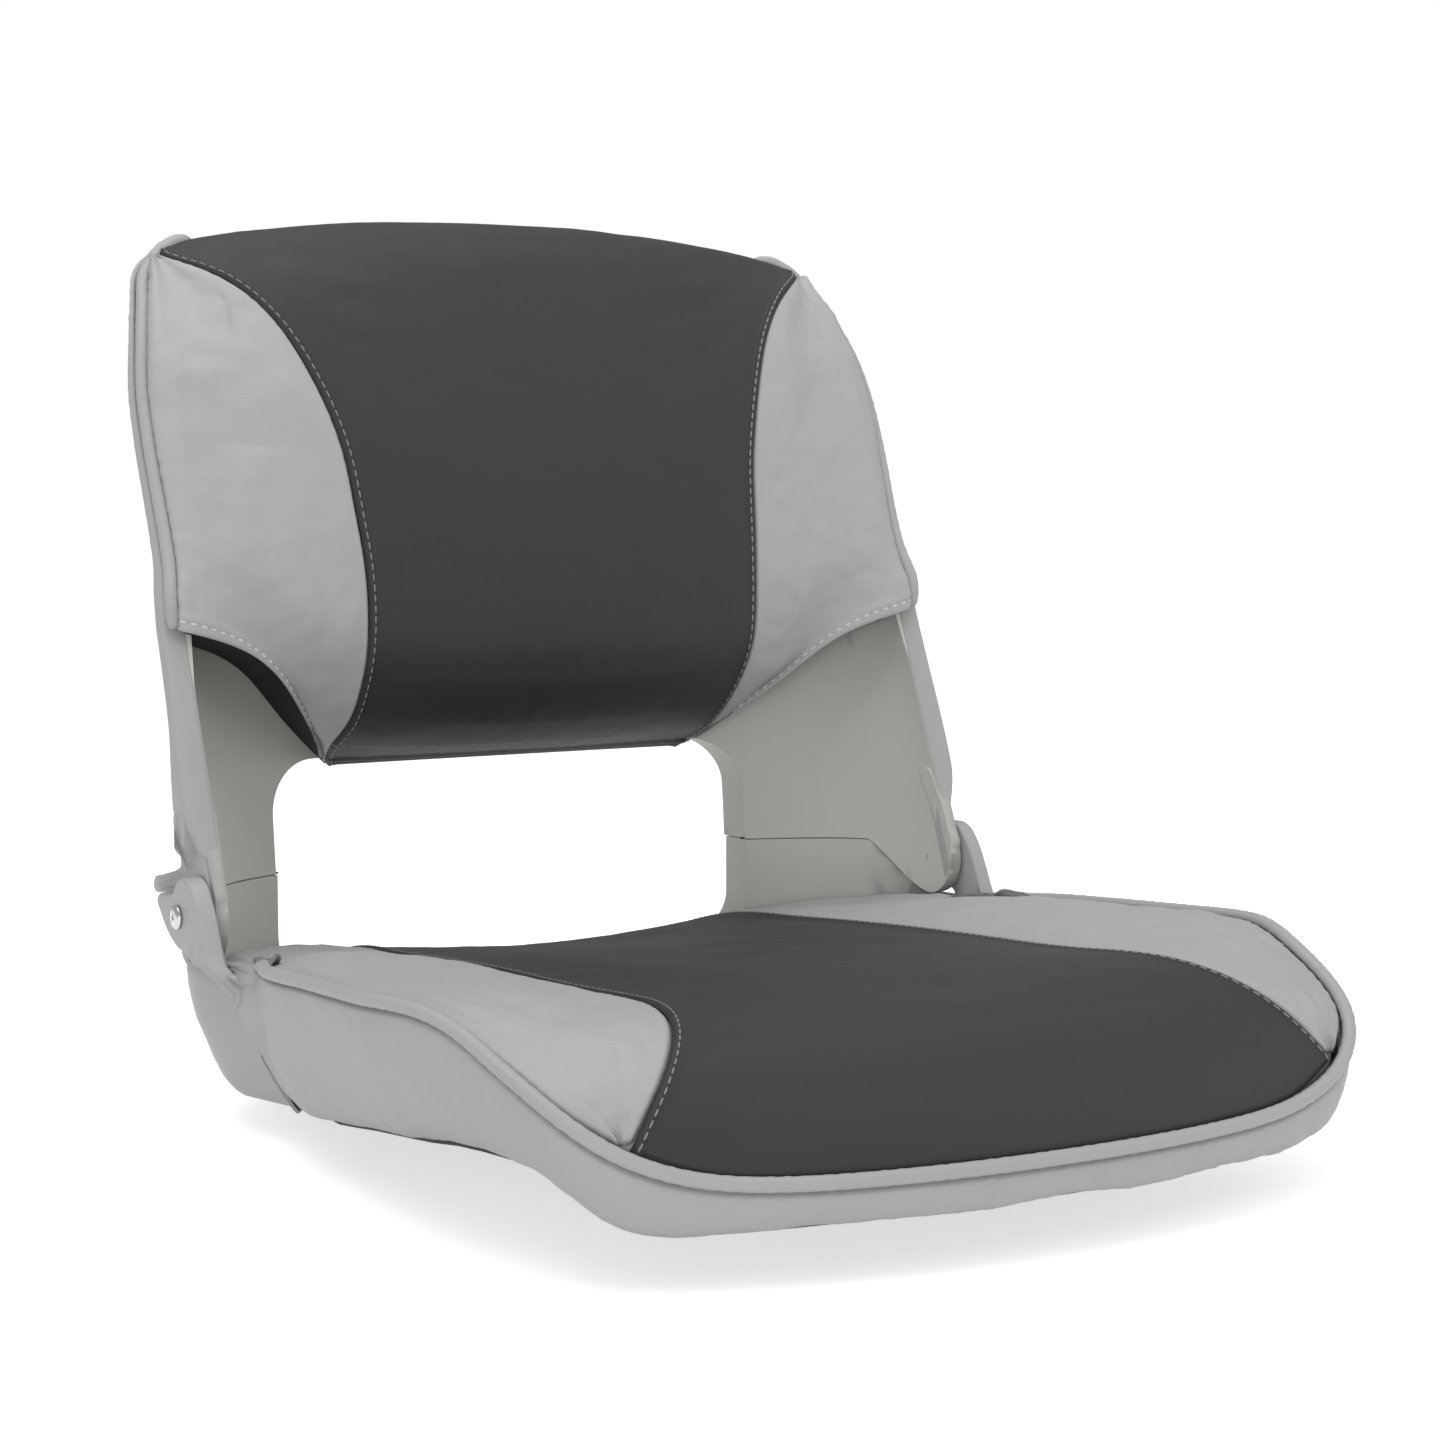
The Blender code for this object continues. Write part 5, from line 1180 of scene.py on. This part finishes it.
def bucket_columns():
    """Columns round the bucket's right half: rim, inward vector, height, tuck, first turn and how
    much of the rounder rear form each has."""
    line = line_of("seat_piping", 8, (0.2047, 0.0405, 0.0868)) - DATUM
    outline = line[:len(line) // 2 + 1][::-1]
    outline, _ = read_line(outline, 0.009)
    outline[0, 0] = 0.0
    step = np.diff(outline, axis=0)
    step = np.vstack((step[:1] * (1.0, 0.0, 0.0), step, step[-1:]))
    step /= np.linalg.norm(step, axis=1, keepdims=True)
    step = step[:-1] + step[1:]
    for _ in range(8):
        step[1:-1] = step[:-2] / 4 + step[1:-1] / 2 + step[2:] / 4
    into = np.stack((-step[:, 1], step[:, 0], np.zeros(len(step))), axis=1)
    into /= np.linalg.norm(into, axis=1, keepdims=True)
    run = np.concatenate(([0.0], np.cumsum(np.linalg.norm(np.diff(outline, axis=0), axis=1))))
    band = np.array(SEAT_BAND)
    height = np.interp(run / run[-1], band[:, 0], band[:, 1]) * 0.066
    tuck = np.interp(run / run[-1], band[:, 0], band[:, 2]) * 0.030
    for values in (height, tuck):
        for _ in range(6):
            values[1:-1] = values[:-2] / 4 + values[1:-1] / 2 + values[2:] / 4
    columns = [(p, n, h, t, math.asin((0.004 + 0.12 * h) / h), 0.0)
               for p, n, h, t in zip(outline, into, height, tuck)]
    edge_count = len(columns)
    turns = np.linspace(0, math.pi / 2, 44)
    last = columns[-1]
    for k, turn in enumerate(turns):
        x, y = BUCKET_HALF * math.cos(turn), BUCKET_STRAIGHT + BUCKET_AFT * math.sin(turn)
        way = -np.array((math.cos(turn) / BUCKET_HALF, math.sin(turn) / BUCKET_AFT, 0.0))
        way /= np.linalg.norm(way)
        spot = np.array((x, y, parting_rise(y)))
        sunk = tuck[-1] + (BUCKET_TUCK - tuck[-1]) * math.sin(turn)
        full = (spot, way, parting_rise(y) + BUCKET_DEPTH + 0.0045, sunk, 0.0, 1.0)
        if k == 0:
            for share in (0.25, 0.5, 0.75):
                columns.append(tuple(np.asarray(p) + (np.asarray(q) - np.asarray(p)) * share
                                     for p, q in zip(last, full)))
        columns.append(full)
    return columns, edge_count


def bucket_face(columns, wall, rings=16, floor=(0.93, 0.86, 0.77, 0.68, 0.57, 0.46, 0.35, 0.24)):
    """Closed rings of the bucket's surface, from its rim to its middle."""
    middle = np.array((0.0, -0.040, 0.0))
    right = []
    for top, into, height, tuck, first, full in columns:
        points = []
        for a in np.linspace(float(first), math.pi / 2, rings):
            inset = float(tuck) * (1 - math.cos(a)) ** (1 + 1.5 * float(full))
            spot = top + into * (wall + inset) - np.array((0, 0, (height - wall) * math.sin(a)))
            rise = spot[2]
            swell = np.interp(rise, (-0.058, -0.046, -0.030, -0.012, -0.004, 0.012),
                              (0, 0.0026, 0.0088, 0.0122, 0.0122, 0.0))
            spot = spot - into * swell * float(full) * math.exp(-((spot[1] - 0.050) / 0.036) ** 2)
            points.append(spot)
        base = points[-1]
        fore = max(0.0, min(1.0, (-base[1] / 0.332 - 0.55) / 0.30))
        for share in floor:
            spot = middle + (base - middle) * share
            lip = 0.017 * fore * math.sin(math.pi * max(0.0, (share - 0.40) / 0.60))
            lowest = wall - BUCKET_DEPTH - 0.004
            climb = share**3 if share > floor[-1] else 0.0
            spot[2] = lowest + (base[2] - lowest) * climb + lip
            points.append(spot)
        right.append(points)
    right = np.array(right)
    left = right[-2:0:-1] * np.array((-1.0, 1.0, 1.0))
    return np.swapaxes(np.concatenate((right, left)), 0, 1)


def bowl(name, outer, inner):
    """A walled vessel between two sets of rings."""
    count, size = outer.shape[:2]
    other = count * size
    faces = []
    for k in range(count - 1):
        for i in range(size):
            j = (i + 1) % size
            faces.append((k * size + i, k * size + j, (k + 1) * size + j, (k + 1) * size + i))
            faces.append(tuple(other + q for q in
                               ((k + 1) * size + i, (k + 1) * size + j, k * size + j, k * size + i)))
    for i in range(size):
        j = (i + 1) % size
        faces.append((j, i, other + i, other + j))
    faces.append(tuple((count - 1) * size + i for i in range(size)))
    faces.append(tuple(other + (count - 1) * size + i for i in reversed(range(size))))
    return solid(name, np.concatenate((outer.reshape(-1, 3), inner.reshape(-1, 3))), faces)


def rounded_rectangle(half, low, high, radius, corner=14):
    points = []
    for k, (x, z) in enumerate(((half, high), (-half, high), (-half, low), (half, low))):
        cx, cz = x - math.copysign(radius, x), z - (radius if k < 2 else -radius)
        points += [(cx + radius * math.cos(a + k * math.pi / 2), cz + radius * math.sin(a + k * math.pi / 2))
                   for a in np.linspace(0, math.pi / 2, corner)]
    return points


def lumbar_cutter(name, grow=0.0):
    outline = rounded_rectangle(0.1385 + grow, -0.038 - grow, 0.076 + grow, 0.027 + grow)
    return lofted(name, [[(x, y, z) for x, z in outline] for y in (BUCKET_STRAIGHT, 0.22)])


def pocket_cutter(side, clearance):
    """The room the ear turns in, cut out of the bucket."""
    radius = EAR_RADIUS + clearance
    turns = np.linspace(-math.pi / 2, -math.pi / 4, 14)
    arc = [(PIVOT_AFT + radius * math.cos(a), PIVOT_RISE + radius * math.sin(a)) for a in turns]
    end = (arc[-1][0] + POST_TOP - arc[-1][1] + clearance, POST_TOP + clearance)
    outline = arc + [end, (end[0], 0.042), (-0.020, 0.042), (-0.020, arc[0][1])]
    return lofted("pocket", [[(x, y, z) for y, z in outline] for x in (side * 0.154, side * 0.245)])


def wall_low(aft):
    """The lower edge of the backrest's wall: level behind, then down the slant to the ear."""
    if aft > 0.0970:
        return parting_rise(aft) + 0.0005
    if aft > 0.0762:
        return POST_TOP + 0.0005 - (0.0970 - aft) * 0.985
    if aft > 0.0440:
        return PIVOT_RISE - math.sqrt(max(0.0, 0.0192**2 - (aft - PIVOT_AFT) ** 2))
    return PIVOT_RISE


def back_face(offset, rows=44, columns=150):
    """The backrest wall's surface at an offset from its rear face."""
    turns = np.linspace(0.0, math.pi, columns + 1)
    grid = np.zeros((rows, columns + 1, 3))
    for j, turn in enumerate(turns):
        aft_low = leg_line(0.016) + (0.189 - leg_line(0.016)) * math.sin(turn)
        low = wall_low(aft_low)
        top = 0.345 - 0.060 * abs(math.cos(turn)) ** 6
        for k in range(rows):
            up = low + (top - low) * k / (rows - 1)
            side = float(leg_line(up))
            half = float(back_half(max(up, 0.0)))
            grid[k, j] = ((half + offset) * math.cos(turn),
                          side + (0.189 + offset - side) * math.sin(turn), up)
    return grid


def slab(name, near, far):
    """A solid between two grids."""
    rows, columns = near.shape[:2]
    other = rows * columns
    faces = []
    for i in range(rows - 1):
        for j in range(columns - 1):
            a = i * columns + j
            faces.append((a, a + 1, a + columns + 1, a + columns))
            faces.append(tuple(other + q for q in (a + columns, a + columns + 1, a + 1, a)))
    border = (list(range(columns)) + [i * columns + columns - 1 for i in range(1, rows)]
              + [(rows - 1) * columns + j for j in range(columns - 2, -1, -1)]
              + [i * columns for i in range(rows - 2, 0, -1)])
    for a, b in zip(border, border[1:] + border[:1]):
        faces.append((b, a, a + other, b + other))
    return solid(name, np.concatenate((near.reshape(-1, 3), far.reshape(-1, 3))), faces)


columns, edge_count = bucket_columns()
bucket = bowl("seat_shell_moulding", bucket_face(columns, 0.0), bucket_face(columns, WALL))
rim = joined(lumbar_cutter("lumbar_rim", 0.0035), [lumbar_cutter("lumbar")], "DIFFERENCE")
thick_bucket = bowl("thick_bucket", bucket_face(columns, -0.016, 8), bucket_face(columns, WALL / 2, 8))
rim = joined(rim, [thick_bucket], "INTERSECT")
bucket = joined(bucket, [rim], "UNION")
bucket_openings = [lumbar_cutter("lumbar"), pocket_cutter(1, 0.0012), pocket_cutter(-1, 0.0012)]
bucket = joined(bucket, bucket_openings, "DIFFERENCE")
shell = piece("seat_shell_moulding", bucket, SHELL, "seat", ("seat_shell",))
eased(shell, 0.0005, 50.0, 2, 45.0)
mark_web_tint_and_painted_fill(shell.data)

# Boxing band, its ends drawn back over the bucket's sides
band = lowered(grid_of("seat_boxing_band", 6, 41, (0, 0, -1), (1, 0, 0), crease=math.radians(50)))
surface = BVHTree.FromPolygons([v.co.copy() for v in shell.data.vertices],
                               [p.vertices[:] for p in shell.data.polygons])
ends = []
for share in (1.0, 0.5):
    column = []
    for k, (aft, up) in enumerate(((0.0012, -0.0022), (0.0150, -0.0095), (0.0190, -0.0265), (0.0060, -0.0425),
                                   (-0.0100, -0.0555), (-0.0200, -0.0635))):
        start = band[k, -1] - DATUM
        aft, up = start[1] + (aft - start[1]) * share, start[2] + (up - start[2]) * share
        hit = surface.ray_cast(Vector((0.30, aft + DATUM[1], up + DATUM[2])), Vector((-1, 0, 0)))[0]
        x = max(hit.x + 0.0014, start[0] - 0.002 * share) if hit else start[0]
        column.append((x, aft + DATUM[1], up + DATUM[2]))
    ends.append(np.array(column)[:, None])
far = np.concatenate((ends[1], ends[0]), axis=1)
band = np.concatenate((far[:, ::-1] * MIRROR, band[:, 1:-1], far), axis=1)
made, out, seam = cover(band, ("piping", "open", "open", "open"), 0.0, 0.0013, None, 0.0003)
finish_cover("seat_boxing_cover", made, out, seam, GREY_EDGE, "seat", ("seat_boxing_band",))

# Ribbed mounting grid under the bucket
work = merged("seat_shell")
grid_mesh = bpy.data.meshes.new("mounting_grid")
work.to_mesh(grid_mesh)
work.free()
rings = bucket_face(columns, 0.0003, 10)
lid = rings[0].copy()
lid[:, 2] = 0.060
room = lofted("bucket_room", np.concatenate((lid[None], rings)))
wing_ring = ((-0.40, -0.12), (0.40, -0.12), (0.40, 0.10), (-0.40, 0.10))
wings = [lofted("aside", [[(side * x, y, z) for y, z in wing_ring] for x in (0.105, 0.30)])
         for side in (1, -1)]
grid_mesh = joined(grid_mesh, [room] + wings, "DIFFERENCE")
work = bmesh.new()
work.from_mesh(grid_mesh)
beyond = [v for v in work.verts if abs(v.co.x) > 0.0951 or abs(v.co.y) > 0.0951]
bmesh.ops.delete(work, geom=beyond, context="VERTS")
bmesh.ops.dissolve_limit(work, angle_limit=math.radians(0.5), verts=work.verts, edges=work.edges)
work.to_mesh(grid_mesh)
work.free()
grid_piece = piece("mounting_grid_ribs", grid_mesh, SHELL, "seat", ())
eased(grid_piece, 0.0005, 40.0, 1, 40.0)

for name, side in (("left", 1), ("right", -1)):
    cut_plate(f"hinge_lug_{name}", smooth_loop(LUG, 5), side, LUG_INNER,
              LUG_INNER + LUG_THICKNESS, SHELL, "seat", 0.0021, 0.0012, segments=4)
    sink_into_bucket(bpy.data.objects[f"hinge_lug_{name}"].data, side)
    cut_plate(f"hinge_lug_foot_{name}", smooth_loop(FOOT, 5), side, 0.2020,
              LUG_INNER + LUG_THICKNESS / 2, SHELL, "seat", 0.0016, 0.0008)
    sink_into_bucket(bpy.data.objects[f"hinge_lug_foot_{name}"].data, side)
    cut_plate(f"bucket_ledge_{name}", smooth_loop(LEDGE, 5), side, 0.1965, 0.2122, SHELL, "seat", 0.0012)
    for corner in bpy.data.objects[f"bucket_ledge_{name}"].data.vertices:
        limit = 0.2088 + 0.0034 * float(ramp(corner.co.y - DATUM[1], 0.026, 0.044))
        inner = 0.1965 + 0.0070 * float(ramp(corner.co.y - DATUM[1], 0.046, 0.060))
        corner.co.x = side * max(min(abs(corner.co.x), limit), inner)

wall = slab("back_shell_moulding", back_face(0.0), back_face(-WALL))
rim = joined(lumbar_cutter("lumbar_rim", 0.0035), [lumbar_cutter("lumbar")], "DIFFERENCE")
rim = joined(rim, [slab("thick_wall", back_face(0.016, 30, 90), back_face(-WALL / 2, 30, 90))], "INTERSECT")
wall = joined(wall, [rim], "UNION")
wall = joined(wall, [lumbar_cutter("lumbar")], "DIFFERENCE")
drawn_to_pivot(wall, EAR_RADIUS + 0.0007)
back = piece("back_shell_moulding", wall, SHELL, "backrest", ("back_shell",))
eased(back, 0.0005, 50.0, 2, 45.0)
mark_web_tint_and_painted_fill(back.data)

# The parting line where the two mouldings meet: a black strip in the gap, painted shadow for the dark line
for name, side in (("left", 1), ("right", -1)):
    turns = np.linspace(0.39, 0.84, 40)
    strip = []
    for deep, lift in ((0.0006, 0.00015), (0.0014, 0.00015), (0.0014, 0.0012), (0.0006, 0.0012)):
        aft = float(leg_line(POST_TOP)) + (0.189 - WALL + deep - float(leg_line(POST_TOP))) * np.sin(turns)
        strip.append([(side * (BUCKET_HALF - WALL + deep) * math.cos(t), y, parting_rise(y) + lift)
                      for t, y in zip(turns, aft)])
    made = lofted(f"parting_shadow_strip_{name}", np.swapaxes(np.array(strip), 0, 1))
    piece(f"parting_shadow_strip_{name}", made, RETAINER_AND_SHADOW_BLACK, "backrest", ())

# Black sheets of painted shadow under the backrest pad, from the hem back to the wall: they stand in for the
# shade in the gap between pad and web
for name, side in (("left", 1), ("right", -1)):
    hem = read_line(BACK_SIDE_COVERS["left"][-1], 0.004)[0] - DATUM
    rows = []
    for share in (0.0, 0.35, 0.7, 1.0):
        row = []
        for k, (x, y, z) in enumerate(hem):
            fall = 0.0015 + 0.0055 * k / (len(hem) - 1)
            up = z + 0.0012 - fall * share
            fore = float(leg_line(up))
            reach = math.sqrt(max(0.02, 1 - (min(x, 0.199) / (float(back_half(up)) - WALL)) ** 2))
            far = max(fore + (0.185 - fore) * reach - 0.0012, y + 0.004)
            row.append((side * (x - 0.0015), y + 0.0016 + (far - y - 0.0016) * share, up))
        rows.append(row)
    sheet = np.array(rows) + DATUM
    mesh = skin(f"back_pad_painted_shadow_{name}", sheet, sheet + (0, 0, 0.0009))
    piece(f"back_pad_painted_shadow_{name}", mesh, PAINTED_SHADOW_BLACK, "backrest", ())

for name, side in (("left", 1), ("right", -1)):
    turns = np.linspace(-math.pi, 0.0, 40)
    outline = [(PIVOT_AFT + EAR_RADIUS * math.cos(a), PIVOT_RISE + EAR_RADIUS * math.sin(a)) for a in turns]
    outline += [(0.0850, 0.040), (0.0855, 0.057), (float(leg_line(0.057)) + 0.002, 0.057)]
    cut_plate(f"hinge_ear_{name}", outline, side, EAR_INNER, LUG_INNER - 0.0006, SHELL, "backrest", 0.0012,
              segments=3)
    cut_plate(f"back_stop_{name}", smooth_loop(STOP, 5), side, EAR_INNER + WALL, 0.2190, SHELL,
              "backrest", 0.0016, 0.0004, segments=4)
    for corner in bpy.data.objects[f"back_stop_{name}"].data.vertices:
        away = math.hypot(corner.co.y - DATUM[1] - PIVOT_AFT, corner.co.z - DATUM[2] - PIVOT_RISE)
        limit = LUG_INNER - 0.0004 + 0.0069 * float(ramp(away, 0.0275, 0.0345))
        corner.co.x = side * min(abs(corner.co.x), limit)
    tongue = cut_plate(f"hinge_tongue_{name}", smooth_loop(TONGUE, 4), side, 0.2009, 0.2104, SHELL,
                       "backrest", 0.0022, segments=4)
    # The tongue's inner face takes the web colour with its painted fill light
    marks = []
    for corner in tongue.data.vertices:
        marks.append(1.0 if abs(corner.co.x) < 0.2040 else 0.0)
        if marks[-1]:
            turn = math.asin(max(0.0, corner.co.y - DATUM[1] - 0.0424) / 0.1426)
            corner.co.x = side * (BUCKET_HALF - WALL + 0.0003) * math.cos(turn)
    drawn_to_pivot(tongue.data, EAR_RADIUS + 0.0011)
    tongue.data.attributes.new("web", "FLOAT", "POINT").data.foreach_set("value", marks)
    table = np.array(FLANGE)
    shares = np.linspace(0.055, 1.10, 66)
    widths, depths = np.interp(shares, table[:, 0], table[:, 1]), np.interp(shares, table[:, 0], table[:, 2])
    for values in (widths, depths):
        for _ in range(4):
            values[1:-1] = values[:-2] / 4 + values[1:-1] / 2 + values[2:] / 4
    rings = []
    for share, width, depth in zip(shares, widths, depths):
        up = 0.029 + share * 0.121
        fore, inner = float(leg_line(up)) - 0.0008, EAR_INNER + 0.0008
        outer, deep = EAR_INNER + width * 0.0130, depth * 0.0095
        soft = min(width * 0.0130, deep) / 3
        ring = [(inner, fore + deep), (inner, fore + 0.0012), (inner + 0.0004, fore + 0.0004),
                (inner + 0.0012, fore)]
        ring += [(outer - soft + soft * math.sin(a), fore + soft - soft * math.cos(a))
                 for a in np.linspace(0, math.pi / 2, 7)]
        ring += [(outer - soft + soft * math.cos(a), fore + deep - soft + soft * math.sin(a))
                 for a in np.linspace(0, math.pi / 2, 7)]
        rings.append([(side * x, y, up) for x, y in ring])
    made = lofted(f"back_flange_{name}", rings)
    piece(f"back_flange_{name}", made, SHELL, "backrest", ())
    eased(bpy.data.objects[f"back_flange_{name}"], 0.0008, 60.0, 2, 45.0)


def pan_head_screw(name, side):
    """A pan-head screw with its shank and a cross recess."""
    face = LUG_INNER + LUG_THICKNESS + 0.0003
    bpy.ops.object.select_all(action="DESELECT")
    bpy.ops.mesh.primitive_circle_add(vertices=40, radius=0.0017, fill_type="NGON",
                                      location=(0.2010, 0, 0), rotation=(0, math.pi / 2, 0))
    made = bpy.context.object
    made.name = name
    made.data.name = name
    bpy.ops.object.transform_apply(location=True, rotation=True, scale=True)
    bpy.ops.object.mode_set(mode="EDIT")
    bpy.ops.mesh.select_all(action="SELECT")
    place, wide = 0.2010, 0.0017
    profile = ((EAR_INNER + WALL, 0.0017), (EAR_INNER + WALL + 0.0003, 0.0029), (face, 0.0029),
               (face, 0.0056), (face + 0.0003, 0.0058), (face + 0.0010, 0.0058), (face + 0.0016, 0.0055),
               (face + 0.0021, 0.0047), (face + 0.0024, 0.0036), (face + 0.0026, 0.0020))
    for across, radius in profile:
        bpy.ops.mesh.extrude_region_move(TRANSFORM_OT_translate={"value": (across - place, 0, 0)})
        grow = radius / wide
        bpy.ops.transform.resize(value=(1, grow, grow), center_override=(across, 0, 0))
        place, wide = across, radius
    bpy.ops.mesh.select_all(action="SELECT")
    bpy.ops.mesh.remove_doubles(threshold=0.00001)
    bpy.ops.mesh.normals_make_consistent(inside=False)
    bpy.ops.object.mode_set(mode="OBJECT")
    for turn in (0.35, 0.35 + math.pi / 2):
        bpy.ops.object.select_all(action="DESELECT")
        bpy.ops.mesh.primitive_cube_add(size=1.0, location=(face + 0.0027, 0, 0))
        slot = bpy.context.object
        slot.scale = (0.0034, 0.0058, 0.0011)
        slot.rotation_euler = (turn, 0, 0)
        bpy.ops.object.transform_apply(location=True, rotation=True, scale=True)
        for corner in slot.data.vertices:
            if corner.co.x < face + 0.0027:
                corner.co.y *= 0.45
                corner.co.z *= 0.45
        cut = made.modifiers.new("recess", "BOOLEAN")
        cut.operation, cut.solver, cut.object = "DIFFERENCE", "EXACT", slot
        bpy.context.view_layer.objects.active = made
        bpy.ops.object.modifier_apply(modifier=cut.name)
        bpy.data.objects.remove(slot, do_unlink=True)
    for corner in made.data.vertices:
        x, y, z = corner.co
        corner.co = (side * x, y + PIVOT_AFT + DATUM[1], z + PIVOT_RISE + DATUM[2])
    if side < 0:
        made.data.flip_normals()
    eased(made, 0.00012, 40.0, 1, 40.0)
    made.data.materials.clear()
    made.data.materials.append(STEEL)
    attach(made, "seat")
    return made


for name, side in (("left", 1), ("right", -1)):
    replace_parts(pan_head_screw(f"hinge_screw_pan_head_{name}", side), f"hinge_screw_{name}")
for node, finish in (("hinge_bush_left", NYLON), ("hinge_bush_right", NYLON),
                     ("hinge_insert_left", BRASS), ("hinge_insert_right", BRASS),
                     ("mounting_insert_front_left", BRASS), ("mounting_insert_front_right", BRASS),
                     ("mounting_insert_rear_left", BRASS), ("mounting_insert_rear_right", BRASS),
                     ("seat_retainer_strip", RETAINER_AND_SHADOW_BLACK)):
    NODES[node].material_slots[0].material = finish

# Floor and light
bpy.ops.object.select_all(action="DESELECT")
bpy.ops.mesh.primitive_plane_add(size=60.0, location=(0, 0, 0))
floor = bpy.context.object
floor.name = "floor"
floor.data.transform(floor.matrix_world)
floor.matrix_world.identity()
for v in floor.data.vertices:
    v.co.z -= 0.0005
floor.data.materials.append(floor_finish())

world = bpy.data.worlds.new("studio")
bpy.context.scene.world = world
world.use_nodes = True
world.node_tree.nodes.clear()
sky = Shading(world.node_tree)
ray = sky.node("ShaderNodeLightPath", output="Is Camera Ray")
lit = sky.node("ShaderNodeBackground", Color=rgb(1, 1, 1), Strength=SKY_STRENGTH)
seen = sky.node("ShaderNodeBackground", Color=rgb(1, 1, 1), Strength=1.0)
both = sky.node("ShaderNodeMixShader", slots={0: ray, 1: lit, 2: seen})
sky.node("ShaderNodeOutputWorld", slots={0: both})

softbox("softbox_top", (-0.3, 0.05, 1.9), (0, 0, 0.15), 1.6, 1.6, 17.0)
softbox("softbox_front", (-2.2, -3.5, 0.45), (0, 0, 0.15), 2.8, 0.9, 40.0)
softbox("softbox_right", (1.9, -1.0, 1.1), (0, 0, 0.2), 1.2, 1.4, 6.0)

bpy.context.scene.view_settings.view_transform = "Standard"
